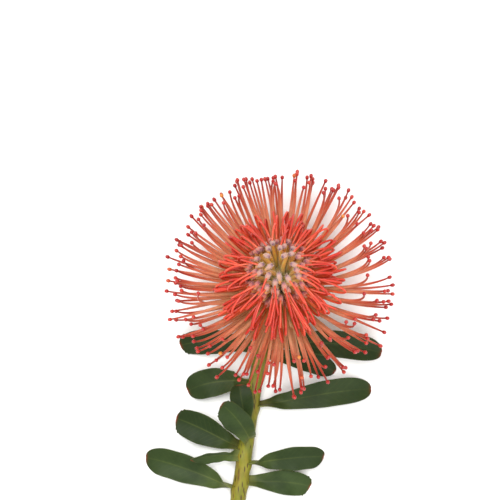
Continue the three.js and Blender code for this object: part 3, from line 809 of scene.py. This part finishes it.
# %% Wool on the tips
HAIRS_PER_TIP = 54
HAIR_RADIUS = 0.06
HAIR_GIRTHS = np.array([1, 0.9, 0.7, 0.25])
HAIR_SIDES = 3
HAIR_LENGTH = (0.55, 1.15)
FIRST_HAIR = 0.06
HAIRY_SHARE = 0.92
HAIR_ROOT = 0.95
HAIR_OUTWARDS = (1, 0.35)  # for the first hair on a tip and the last
HAIR_AHEAD = (0.5, 1.1)
HAIR_STRAY = 0.35
HAIR_BEND = 0.35
OFF_LINE = 0.01  # keeps the side way of a hair from lying along it


def wool_rings():
    """Hairs of all tips. A hair is root + length * (way * t + bend * ahead * t^2). Its root lies a little
    under the surface, and its way is outwards at the foot of a tip and more and more ahead along it."""
    hair = np.arange(HAIRS_PER_TIP)
    number = (unopened["number"] * HAIRS_PER_TIP + hair)[..., None]
    share = FIRST_HAIR + HAIRY_SHARE * (hair / (HAIRS_PER_TIP - 1))[:, None]
    turn = hair[:, None] * GOLDEN_ANGLE + unopened["angle"][..., None]
    outwards = limb_a * np.cos(turn) + limb_b * np.sin(turn)
    girth = np.interp(share, LIMB_SHARES, LIMB_GIRTHS) * LIMB_RADIUS * HAIR_ROOT
    root = mix(limb_start, limb_end, share) + outwards * girth
    stray = np.concatenate([chance(number, use, -HAIR_STRAY, HAIR_STRAY) for use in (11, 12, 13)], -1)
    way = unit(outwards * mix(*HAIR_OUTWARDS, share) + limb_ahead * mix(*HAIR_AHEAD, share) + stray)
    length = chance(number, 14, *HAIR_LENGTH)
    t = np.linspace(0, 1, len(HAIR_GIRTHS))[:, None]
    bend = limb_ahead[:, :, None] * HAIR_BEND * t**2
    line = root[:, :, None] + length[..., None, :] * (way[:, :, None] * t + bend)
    aside = np.repeat(unopened["aside"] @ HEAD_TURN, HAIRS_PER_TIP, 0) + OFF_LINE
    return rings_round(line.reshape(-1, len(t), 3), aside, HAIR_RADIUS * HAIR_GIRTHS, HAIR_SIDES)


def wool_material():
    """Dusky pink hair that pales towards its ends. The lower florets are rosier."""
    paint = Paint("wool", 0.7, Sheen_Weight=0.3)
    silver = [(0, "b88e88"), (1, "eacec0")]
    rosy = [(0, "c86a58"), (1, "dc8c72")]
    return paint.finish(paint.two_runs("rosy", silver, rosy), "a8766c", scale=600, amount=0.3, bump=0.1)


wool_rosiness = np.repeat(rosiness(unopened["number"]), HAIRS_PER_TIP, 0)[..., None]
skin("tip_wool", wool_rings(), wool_material(), "closed_floret", UNOPENED_NODES,
     along=np.linspace(0, 1, len(HAIR_GIRTHS))[:, None], rosy=wool_rosiness)

# %% [markdown]
# ## Looped styles
#
# Under the woolly tips the styles have outgrown their tubes. Each has burst out through the side of its tube
# and bows outwards, while its end is still held in the tip. It is a cubic curve in the plane of its floret,
# pulled far out beyond the tip, and further for the florets that stand lower on the head or over the stem.

# %% Lines of the loops
LOOP_STATIONS = 22
LOOP_FROM = 0.35
LOOP_TO = 0.94
LOOP_BOW = (19, 22)  # each of the ranges by place runs from the inner florets to the outer ones
LOOP_BOW_SPREAD = (0.74, 1.14)
LOOP_REACH = 1.2
LOOP_LOW_RISE = (2, 0)
LOOP_HIGH_RISE = (-3, 4)
LOOP_SWAY = 6
YOUNG_BOW = 0.75
YOUNG_SHARE = 0.25
STEM_SIDE_BOW = 0.15


def loop_lines(floret):
    """Lines of the loops: a cubic from the tube's side to its tip, with a slight sway to one side."""
    outer = 1 - floret["share"]
    grown = mix(YOUNG_BOW, 1, smooth(outer, 0, YOUNG_SHARE))
    hanging = 1 + STEM_SIDE_BOW * np.maximum(-np.sin(floret["angle"]), 0)
    bow = hanging * grown * mix(*LOOP_BOW, outer) * chance(floret["number"], 5, *LOOP_BOW_SPREAD)
    sway = chance(floret["number"], 6, -LOOP_SWAY, LOOP_SWAY)
    start_out, start_high = tube_points(floret, LOOP_FROM)
    end_out, end_high = tube_points(floret, LOOP_TO)
    low, high = start_high + mix(*LOOP_LOW_RISE, outer), end_high + mix(*LOOP_HIGH_RISE, outer)
    t = np.linspace(0, 1, LOOP_STATIONS) * np.ones_like(bow)
    out = bezier([start_out, start_out + bow, end_out + LOOP_REACH * bow, end_out], t)
    height = bezier([start_high, low, high, end_high], t)
    return in_head(floret["angle"], out, height, sway * np.sin(np.pi * t))


loops = loop_lines(opening_florets)
print("loops reach", np.linalg.norm(loops[..., :2], axis=-1).max().round(1), "mm out")

# %% Skins of the loops
LOOP_SIDES = 6
LOOP_SHARES = (0, 0.5, 1)
LOOP_GIRTHS = (1.1, 1, 0.85)

loop_along = np.linspace(0, 1, LOOP_STATIONS)
loop_radii = np.interp(loop_along, LOOP_SHARES, LOOP_GIRTHS) * STYLE_RADIUS


def loop_material():
    """Orange where it leaves the tube, then bright coral red, and a little paler at its held end."""
    paint = Paint("looped style", 0.34, Subsurface_Weight=0.12, Subsurface_Scale=0.001)
    coral = [(0, "c88840"), (0.2, "ce542a"), (0.5, "c6301e"), (0.85, "c0281a"), (1, "c4482c")]
    bright = [(0, "d99e54"), (0.2, "e67c4c"), (0.5, "e65a3e"), (0.85, "e2523a"), (1, "dc6c48")]
    return paint.finish(paint.two_runs("floret", coral, bright), "a4201a", scale=420, amount=0.35, bump=0.2)


skin("looped_styles", floret_rings(opening_florets, loops, loop_radii, LOOP_SIDES), loop_material(),
     "looped_style", ["looped_florets"], along=loop_along[:, None], floret=tone(opening_florets, 16))

# %% [markdown]
# ## The bed of the florets
#
# Between the florets the head is packed with their bases, short olive bulbs in silky down. The bed under
# them is a dome, which alone would look bare. The bulbs, as many as there are florets, are spread evenly up
# it by the golden angle, and they point outwards and a little upwards.

# %% The bed
BED_SIDES = 32
BED_STATIONS = 20
BED_SPAN = (0.02, 1.5)  # up the dome, as the angles whose sines its heights follow
BED_DEPTH = 0.2
ALL_FLORET_NODES = ["open_florets", *UNOPENED_NODES]


def bed_material():
    """Olive brown with darker specks, straw coloured at the bulbs' ends, and with the sheen of down."""
    paint = Paint("floret bed", 0.85, Sheen_Weight=0.5)
    base = paint.run(paint.number("along"), [(0, "86702c"), (0.6, "9c8238"), (1, "b89a58")])
    return paint.finish(base, "6b5a22", scale=700, amount=0.4, bump=0.5)


BED_MATERIAL = bed_material()
bed_height = SLEEVE_HEIGHT * np.sin(np.linspace(*BED_SPAN, BED_STATIONS))
bed_radius = sleeve_radius(bed_height) - BED_DEPTH
bed_rings = in_head(full_turn(BED_SIDES), bed_radius[:, None], bed_height[:, None])
skin("floret_bed", on_frame(bed_rings)[None], BED_MATERIAL, "closed_floret", ALL_FLORET_NODES, along=0.3)

# %% The bulbs
BULB_LENGTH = 2.6
BULB_RADIUS = 1.25
BULB_SIDES = 6
BULB_SHARES = np.array([0, 0.35, 0.65, 0.85, 1])
BULB_GIRTHS = np.array([1, 1, 0.8, 0.5, 0.2])
BULB_HEIGHTS = (2.6, 30)
BULB_DEPTH = 0.6
BULB_LIFT = 0.5

bulb_number = np.arange(FLORETS)[:, None]
bulb_height = mix(*BULB_HEIGHTS, bulb_number / (FLORETS - 1))
bulb_angle = (bulb_number + 0.5) * GOLDEN_ANGLE
bulb_root = in_head(bulb_angle, sleeve_radius(bulb_height) - BULB_DEPTH, bulb_height)
bulb_slope = bulb_height / SLEEVE_HEIGHT * SLEEVE_RADIUS / SLEEVE_HEIGHT
bulb_way = unit(in_head(bulb_angle, 1, bulb_slope + BULB_LIFT))
bulb_lines = bulb_root + BULB_SHARES[:, None] * BULB_LENGTH * bulb_way
bulb_rings = rings_round(on_frame(bulb_lines), in_head(bulb_angle, 0, 0, 1) @ HEAD_TURN,
                         BULB_GIRTHS * BULB_RADIUS, BULB_SIDES)
skin("floret_bases", bulb_rings, BED_MATERIAL, "closed_floret", ALL_FLORET_NODES, along=BULB_SHARES[:, None])

# %% [markdown]
# ## The stem
#
# The stem is a round outline carried along two curves, one nearly straight along the table and one that
# bends up into the head's foot, where it widens. The first curve's four points are told from the place under
# the bloom's tip. Low swellings under the leaves, faint ridges along it and a slight flat where it rests on
# the table keep it from looking turned on a lathe. Its cut end shows a ring of bark, pale wood and a softer
# pith.

# %% The stem's line
FOOT_LENGTH = 5
CUT_RADIUS = 4.3
NECK_RADIUS = 3.4
STRAIGHT_STEM = np.array([[-25.4, -164, 4.1], [-20.2, -128, 5.4], [-13.2, -78, 5.4], [-6.6, -38, 3.5]])
NECK_PULL = (8, 7)  # how far the bend is pulled on along the stem, and back below the head's foot
CURVE_POINTS = 200
TABLE_CLEARANCE = 0.02


def on_table(places):
    """Places given from the point under the bloom's tip, in the frame."""
    return np.asarray(places, float) + [*TIP_PLACE, 0]


def above_table(points):
    """The same points, none of them lower than a hair's breadth over the table."""
    return np.concatenate([points[..., :2], np.maximum(points[..., 2:], TABLE_CLEARANCE)], -1)


straight = on_table(STRAIGHT_STEM)
neck_way = unit(straight[3] - straight[2])
foot_start = head_foot - FOOT_LENGTH * head_axis
neck_controls = [straight[3], straight[3] + NECK_PULL[0] * neck_way,
                 foot_start - NECK_PULL[1] * head_axis, foot_start]
fine = np.linspace(0, 1, CURVE_POINTS)[:, None]
stem_points = np.concatenate([bezier(straight, fine), bezier(neck_controls, fine)[1:]])
stem_reach = np.concatenate([[0], np.cumsum(np.linalg.norm(np.diff(stem_points, axis=0), axis=1))])
STEM_LENGTH = stem_reach[-1]
print("stem:", STEM_LENGTH.round(1), "mm from the cut to the head's foot")


# %% Its middles and radii
RECEPTACLE_RADIUS = 7
FOOT_WIDE_HEIGHT = 0.5


def stem_at(distance):
    """Middles of the stem at distances from its cut end, by straight steps between fine points."""
    return np.stack([np.interp(distance, stem_reach, stem_points[:, i]) for i in range(3)], -1)


def stem_radius(distance):
    """The stem's radius, which tapers evenly from the cut to the neck."""
    return mix(CUT_RADIUS, NECK_RADIUS, distance / STEM_LENGTH)


def foot_radius(height):
    """The radius of the head's foot at a height, which widens from the neck to the receptacle."""
    return mix(NECK_RADIUS, RECEPTACLE_RADIUS, smooth(height, -FOOT_LENGTH, FOOT_WIDE_HEIGHT))


print("stem's radius halfway:", stem_radius(STEM_LENGTH / 2).round(2), "mm")

# %% [markdown]
# A leaf is told by its distance from the cut end, its turn round the stem from straight up, its tip from the
# point under the bloom's tip, its width, how far its middle rises, how far its face rolls at its base and at
# its tip, and whether it has teeth. The stem swells under each leaf.

# %% The leaves' places
LEAF_MEASURES = ("from", "around", "tip", "width", "rise", "roll", "teeth")
LEAF_ROWS = [
    (46, -85, (-68, -103, 0.5), 15, 4, (5, -10), 0),
    (50, 98, (18, -118, 0.6), 13, 4, (-10, 15), 1),
    (60, 75, (25, -102, 5), 13, 5, (10, 20), 0),
    (63, -50, (-44, -103, 14), 12, 4, (-50, -66), 0),
    (67, -98, (-52, -82, 4), 16, 3, (0, -18), 1),
    (72, 20, (-28, -73, 27), 15, 6, (-10, -32), 1),
    (80, -20, (-19, -64, 13), 12, 2, (0, 8), 1),
    (90, 95, (50, -67, 0.6), 14, 4, (10, -10), 0),
    (102, -88, (-46, -68, 0.5), 15, 4, (0, 10), 0),
    (117, 100, (31, -58, 0.5), 11, 3, (-10, 10), 0),
    (120, -80, (-50, -44, 0.5), 13, 3, (8, -10), 1),
    (124, 75, (55, -48, 6), 14, 7, (8, -8), 0),
]
LEAVES = [dict(zip(LEAF_MEASURES, row)) for row in LEAF_ROWS]
print("leaves:", len(LEAVES))


# %% The stem's rings
STEM_SIDES = 28
STEM_STATIONS = 190
RIDGES = [(0.014, 5, 0.03), (0.01, 3, -1 / 9)]  # depth, how many round the stem, twist in a millimetre
SWELLING_HEIGHT = 0.75
SWELLING_LENGTH = 2.6
SWELLING_BEFORE = 1.5
FOOT_SPAN = (-4.5, 4)
FOOT_STATIONS = 12


def stem_rings():
    """Rings along the stem and up into the head's foot. The radius is stem_radius * (1 - |ridges|), and each
    leaf adds height * exp(-(distance from its base / length)^2) * cos(turn from it)^2 on its own side."""
    distance = np.linspace(0, STEM_LENGTH, STEM_STATIONS)
    line = stem_at(distance)
    turns = full_turn(STEM_SIDES)
    ridges = sum(depth * np.sin(count * turns + twist * distance[:, None]) for depth, count, twist in RIDGES)
    radius = stem_radius(distance)[:, None] * (1 - np.abs(ridges))
    for leaf in LEAVES:
        side = np.radians(leaf["around"] - 90)  # a leaf's turn is told from straight up, a ring's from +X
        near = np.exp(-((distance - leaf["from"] + SWELLING_BEFORE) / SWELLING_LENGTH) ** 2)[:, None]
        radius = radius + SWELLING_HEIGHT * near * np.clip(np.cos(turns - side), 0, 1) ** 2
    a, b = ways_across(unit(np.gradient(line, axis=0)), ALONG_X)
    stem = above_table(line[:, None] + radius[..., None] * circle(a, b, turns))
    height = np.linspace(*FOOT_SPAN, FOOT_STATIONS)[:, None]
    return np.concatenate([stem, on_frame(in_head(turns, foot_radius(height), height))])


bark_rings = stem_rings()[None]
print("lowest point of the bark:", bark_rings[..., 2].min().round(2), "mm over the table")


# %% Bark
BARK_STRETCH = (260, 45, 260)
STREAK_DETAIL = 5
PORE_SCALE = 3
YOUNG_BETWEEN = (0.2, 0.95)


def stem_material():
    """Yellow green bark, browner in streaks, with small dark brown pores. It is younger towards the head."""
    paint = Paint("stem bark", 0.5, Specular_IOR_Level=0.25)
    place = paint.nodes.new("ShaderNodeTexCoord")
    stretched = paint.nodes.new("ShaderNodeMapping")
    stretched.inputs["Scale"].default_value = BARK_STRETCH
    paint.links.new(place.outputs["Object"], stretched.inputs["Vector"])
    streaks = paint.nodes.new("ShaderNodeTexNoise")
    streaks.inputs["Detail"].default_value = STREAK_DETAIL
    streaks.inputs["Scale"].default_value = 1
    paint.links.new(stretched.outputs["Vector"], streaks.inputs["Vector"])
    pores = paint.nodes.new("ShaderNodeTexVoronoi")
    pores.inputs["Scale"].default_value = PORE_SCALE
    paint.links.new(stretched.outputs["Vector"], pores.inputs["Vector"])
    streak = streaks.outputs["Fac"]
    old_stops = [(0.28, "545c1c"), (0.45, "73741e"), (0.58, "867c24"), (0.68, "6a4e20"), (0.8, "4a2d1c")]
    old = paint.run(streak, old_stops)
    young = paint.run(streak, [(0.3, "5c681e"), (0.5, "787a24"), (0.7, "72652a")])
    brown = paint.run(streak, [(0.3, "4f3a20"), (0.7, "332214")])
    pore = paint.run(pores.outputs["Distance"], [(0.16, "ffffff"), (0.3, "000000")])
    base = paint.mixed(pore, paint.mixed(paint.number("along"), old, young), brown)
    return paint.finish(base, "5e4426", scale=240, amount=0.3, bump=0.5)


ring_share = np.arange(bark_rings.shape[1]) / bark_rings.shape[1]
skin("stem_bark", bark_rings, stem_material(), "stem", ["stem"],
     along=smooth(ring_share, *YOUNG_BETWEEN)[:, None])

# %% The cut end
CUT_RINGS = np.array([1.01, 0.99, 0.8, 0.45, 0.3, 0.08])
CUT_OUT = np.array([-0.6, 0.06, 0.1, 0.08, 0.02, 0.02])


def cut_material():
    """Bark, pale wood and a straw pith, from the rim to the middle of the cut."""
    paint = Paint("cut wood", 0.7)
    rim = [(0, "8c8a44"), (0.08, "a9a262")]
    middle = [(0.2, "d3cb9a"), (0.6, "ddd6ac"), (0.75, "c9b98a"), (1, "b9a878")]
    wood = paint.run(paint.number("inward"), rim + middle)
    return paint.finish(wood, "a08a5a", scale=900, amount=0.4, bump=0.4)


cut_way = -unit(stem_points[1] - stem_points[0])
cut_circle = circle(*ways_across(cut_way, ALONG_X), full_turn(STEM_SIDES))
cut_middles = stem_points[0] + CUT_OUT[:, None, None] * cut_way
cut_rings = cut_middles + CUT_RADIUS * CUT_RINGS[:, None, None] * cut_circle
skin("stem_cut", above_table(cut_rings)[None], cut_material(), "stem", ["stem"],
     inward=(1 - CUT_RINGS)[:, None])

# %% [markdown]
# ## Bracts
#
# Under the head sits a collar of small pointed bracts, brown green and downy, in rows like roof tiles. Each
# is a thin pointed tongue, cupped across and sagging between root and end. One tongue could be modelled and
# copied, but a formula gives each row its own size and slope. Across, a bract's outline is a flat lens, which
# the leaves use too.

# %% Shape of the bracts
BRACT_ROWS = [
    {"count": 9, "from": (6.2, -2.9), "to": (11.5, -3.2), "width": 5, "turn": 0},
    {"count": 11, "from": (6.6, -1.4), "to": (13, -1), "width": 5, "turn": 0.4},
    {"count": 13, "from": (7.2, 0.2), "to": (13.4, 1.6), "width": 4.4, "turn": 0.9},
]
BRACT_STATIONS = 10
BRACT_COLUMNS = 7
BRACT_SHARES = (0, 0.45, 0.8, 1)
BRACT_HALVES = (0.75, 1, 0.55, 0.06)
BRACT_HALF_THICKNESS = 0.28
BRACT_THICKNESS_SHARES = (0, 0.8, 1)
BRACT_THICKNESSES = (1.6, 0.8, 0.3)
BRACT_SAG = 1.3
BRACT_CUP = 0.05


def lens(columns):
    """A thin closed outline, out along its upper side and back along the lower one. Points are (u, v), with
    u from -1 to 1 as the cosine of even steps and v = (1 - u^2)^(1/4) above or below."""
    u = np.cos(np.linspace(np.pi, 0, columns))
    v = np.sqrt(1 - u**2) ** 0.5
    return np.concatenate([np.stack([u, v], -1), np.stack([u[::-1], -v], -1)[1:-1]])


def bract_rings(row):
    """Rings of one row: a line from root to end, sagging by sin(pi s), plus aside = half width * u and
    upwards cup * aside^2 + thickness * v."""
    s = np.linspace(0, 1, BRACT_STATIONS)[:, None]
    angle = (row["turn"] + 2 * np.pi * np.arange(row["count"]) / row["count"])[:, None, None]
    u, v = lens(BRACT_COLUMNS).T
    aside = -row["width"] / 2 * np.interp(s, BRACT_SHARES, BRACT_HALVES) * u
    thick = BRACT_HALF_THICKNESS * v * np.interp(s, BRACT_THICKNESS_SHARES, BRACT_THICKNESSES)
    (root_out, root_high), (end_out, end_high) = row["from"], row["to"]
    height = mix(root_high, end_high, s) - BRACT_SAG * np.sin(np.pi * s) + BRACT_CUP * aside**2 + thick
    return in_head(angle, mix(root_out, end_out, s), height, aside)


def bract_material():
    """Olive, and red brown towards the points, with specks and a sheen of pale down."""
    paint = Paint("bract", 0.8, Sheen_Weight=0.5)
    base = paint.run(paint.number("along"), [(0, "8a8246"), (0.5, "77703c"), (0.85, "7a5236"), (1, "6b3c2c")])
    return paint.finish(base, "aca277", scale=700, amount=0.5, bump=0.5)


BRACT_MATERIAL = bract_material()
bracts = np.concatenate([bract_rings(row) for row in BRACT_ROWS])
skin("bracts", on_frame(bracts), BRACT_MATERIAL, "bract", ["involucral_bracts"],
     along=np.linspace(0, 1, BRACT_STATIONS)[:, None])

# %% The collar
COLLAR_SPAN = (-3.6, 2.4)
COLLAR_STATIONS = 7
COLLAR_WALL = 1.1
SCALLOPS = 9
SCALLOP_DEPTH = 0.25

collar_height = np.linspace(*COLLAR_SPAN, COLLAR_STATIONS)[:, None]
collar_turns = full_turn(BED_SIDES)
collar_radius = foot_radius(collar_height) + COLLAR_WALL + SCALLOP_DEPTH * np.sin(SCALLOPS * collar_turns)
collar_rings = in_head(collar_turns, collar_radius, collar_height)
skin("bract_collar", on_frame(collar_rings)[None], BRACT_MATERIAL, "bract", ["involucral_bracts"], along=0.2)

# %% [markdown]
# ## Leaves
#
# A flat sheet given a wall would have an edge like card. So a leaf is a thin lens carried along its midrib,
# which leaves the stem outwards and falls over to its tip. The leaf clasps the stem with its base, then turns
# its face up. Across, it is cupped, with a groove over the midrib, a keel under it and a margin that waves
# slightly. Some tips have small teeth with red points. The numbers below are shares of a leaf's length, of
# its half width, or millimetres.

# %% Outline and midrib of a leaf
LEAF_CAD_THICKNESS = 0.9
LEAF_GAP = 0.4
LEAF_BASE = 0.5
LEAF_WIDE = (0.5, 0.62)
LEAF_END = 0.385
LEAF_BLUNTNESS = 1.2
TOOTH_SHARES = (0.88, 0.935)
TOOTH_LENGTH = 0.013
TOOTH_DEPTH = 0.1
LEAF_OUTWARD = 0.16
LEAF_AHEAD = 0.1
LEAF_MIDDLE_HEIGHT = 2
LEAF_SUNK = 1.5
LEAF_SUNK_SHARE = 0.08


def leaf_half(s, toothed):
    """Half a leaf's width as a share of its widest: narrow base, widest past the middle, round end."""
    base = mix(LEAF_BASE, 1, smooth(s, 0, LEAF_WIDE[0]))
    end = dome(1, (np.clip(s - LEAF_WIDE[1], 0, None) / LEAF_END) ** LEAF_BLUNTNESS)
    teeth = sum(np.exp(-((s - share) / TOOTH_LENGTH) ** 2) for share in TOOTH_SHARES)
    return base * end + TOOTH_DEPTH * toothed * teeth


def turned(vectors, axes, degrees):
    """Vectors turned round unit axes: v cos t + (k x v) sin t, where v is square to k."""
    t = np.radians(degrees)
    return vectors * np.cos(t) + np.cross(axes, vectors) * np.sin(t)


def leaf_rib(leaf, s):
    """The midrib, a curve from the stem over a raised middle to the tip, and the way out of the stem."""
    middle = stem_at(leaf["from"])
    ahead = unit(stem_at(leaf["from"] + 0.5) - stem_at(leaf["from"] - 0.5))
    across, down = ways_across(ahead, ALONG_X)
    around = np.radians(leaf["around"])
    outward = across * np.sin(around) - down * np.cos(around)
    start = middle + outward * (stem_radius(leaf["from"]) + LEAF_CAD_THICKNESS / 2 + LEAF_GAP)
    end = on_table(leaf["tip"])
    length = np.linalg.norm(end - start)
    pull = (start + end) / 2 + LEAF_OUTWARD * length * outward + LEAF_AHEAD * length * ahead
    pull[2] = max(pull[2] + leaf["rise"], LEAF_MIDDLE_HEIGHT)
    sunk = outward * LEAF_SUNK * (1 - smooth(s, 0, LEAF_SUNK_SHARE))
    return bezier([start, pull, end], s) - sunk, outward


print("a leaf's half width along it:", leaf_half(np.linspace(0, 1, 6), 0).round(2))


# %% Rings of a leaf
LEAF_STATIONS = 64
LEAF_SECTION = lens(15)
LEAF_TURNED = 0.22
LEAF_CUP = 0.26
CUP_POWER = 1.5
LEAF_WAVE = 0.05
WAVE_PACE = 19
WAVE_OFFSET = 1.5
WAVE_POWER = 3
KEEL_WIDTH = 0.75
KEEL_SHARES = (0, 0.9, 1)
KEEL_DEPTHS = (0.75, 0.2, 0)
GROOVE_SHARE = 0.35
LEAF_HALF_THICKNESS = 0.3
LEAF_THICKNESS_SHARES = (0, 0.15, 0.97, 1)
LEAF_THICKNESSES = (1.6, 1, 0.8, 0.5)


def leaf_rings(leaf, number):
    """Rings of a leaf: rib + side * half width * u + normal * (cup + wave + thickness - keel or groove)."""
    s = np.linspace(0, 1, LEAF_STATIONS)[:, None]
    rib, outward = leaf_rib(leaf, s)
    way = unit(np.gradient(rib, axis=0))
    level = unit(np.cross(way, [0, 0, 1]))
    rolled = turned(level, way, mix(*leaf["roll"], s))
    clasping = unit(np.cross(way, outward))
    clasping = clasping * np.sign((clasping * rolled).sum(-1, keepdims=True))
    side = unit(mix(clasping, rolled, smooth(s, 0, LEAF_TURNED)))
    normal = np.cross(side, way)
    half = leaf["width"] / 2 * leaf_half(s, leaf["teeth"])
    u, v = LEAF_SECTION.T
    swing = np.sin(WAVE_PACE * s + number + WAVE_OFFSET * np.sign(u))
    wave = LEAF_WAVE * half * swing * np.abs(u) ** WAVE_POWER
    cup = LEAF_CUP * half * np.abs(u) ** CUP_POWER + wave
    keel = np.exp(-((u * half / KEEL_WIDTH) ** 2)) * np.interp(s, KEEL_SHARES, KEEL_DEPTHS)
    thickness = LEAF_HALF_THICKNESS * v * np.interp(s, LEAF_THICKNESS_SHARES, LEAF_THICKNESSES)
    lift = cup + thickness - keel * np.where(v < 0, 1, GROOVE_SHARE)
    return rib[:, None] + side[:, None] * (half * u)[..., None] + normal[:, None] * lift[..., None]


leaf_shapes = [leaf_rings(leaf, number)[None] for number, leaf in enumerate(LEAVES, 1)]
print("leaf rings:", leaf_shapes[0].shape[1], "of", leaf_shapes[0].shape[2], "points")


# %% Leaf surface
VEINS = 80
VEIN_SLANT = 14
VEIN_SHARPNESS = 10
VEIN_STRENGTH = 0.07
RIB_SHARPNESS = 30
RIB_STRENGTH = 0.4
# a painted highlight: a thin band along the leaf's rim, mixed towards the midrib colour as if the edge caught
# the light
RIM_HIGHLIGHT_SHARPNESS = 24
RIM_HIGHLIGHT_STRENGTH = 0.45
RED_RIM = (60, 9)  # how close to the edge, and how close to the tip
RED_TIP = 70


def leaf_material():
    """Dull green with a slightly paler midrib and faint slanting veins, a painted highlight of the midrib's
    colour along the rim where the edge would catch the light, a lighter underside and dull red at the very
    tip and its teeth."""
    paint = Paint("leaf", 0.46, Specular_IOR_Level=0.11)
    along = paint.number("along")
    edge = paint.sum("ABSOLUTE", paint.number("across"), 0)
    dark = [(0, "5f602e"), (0.1, "374521"), (0.35, "26341a"), (1, "222e16")]
    pale = [(0, "70723d"), (0.1, "4a572c"), (0.35, "3b4b27"), (1, "364523")]
    rib = paint.run(along, [(0, "848645"), (0.5, "636e34"), (1, "435027")])
    counted, slant = paint.sum("MULTIPLY", along, VEINS), paint.sum("MULTIPLY", edge, VEIN_SLANT)
    bands = paint.sum("MAXIMUM", paint.sum("SINE", paint.sum("SUBTRACT", counted, slant), 0), 0)
    vein = paint.sum("MULTIPLY", paint.sum("POWER", bands, VEIN_SHARPNESS), VEIN_STRENGTH)
    inner = paint.sum("POWER", paint.sum("SUBTRACT", 1, edge), RIB_SHARPNESS)
    # painted highlight along the rim, where the leaf's edge would catch the light
    rim = paint.sum("MULTIPLY", paint.sum("POWER", edge, RIM_HIGHLIGHT_SHARPNESS), RIM_HIGHLIGHT_STRENGTH)
    upper = paint.mixed(vein, paint.two_runs("tone", dark, pale), rib)
    upper = paint.mixed(paint.sum("MULTIPLY", inner, RIB_STRENGTH), upper, rib)
    upper = paint.mixed(rim, upper, rib)
    under = paint.run(along, [(0, "7d8243"), (0.2, "5b6838"), (1, "505f34")])
    green = paint.mixed(paint.number("underside"), upper, under)
    red = paint.run(along, [(0, "6d5c30"), (0.7, "5b3e2a"), (0.88, "8c3428"), (1, "a43026")])
    margin = paint.sum("MULTIPLY", *[paint.sum("POWER", *pair) for pair in zip((edge, along), RED_RIM)])
    reddened = paint.sum("MAXIMUM", margin, paint.sum("POWER", along, RED_TIP))
    colour = paint.mixed(reddened, green, red)
    return paint.finish(colour, "222f16", scale=60, amount=0.65, bump=0.35, rise=0.0004)


LEAF_MATERIAL = leaf_material()
leaf_along = np.linspace(0, 1, LEAF_STATIONS)[:, None]
across, over = LEAF_SECTION.T
for number, rings in enumerate(leaf_shapes, 1):
    skin(f"leaf_blade_{number:02d}", rings, LEAF_MATERIAL, "leaf", [f"leaf_{number:02d}"],
         along=leaf_along, across=across, underside=(over < 0).astype(float), tone=chance(number, 18, 0, 1))
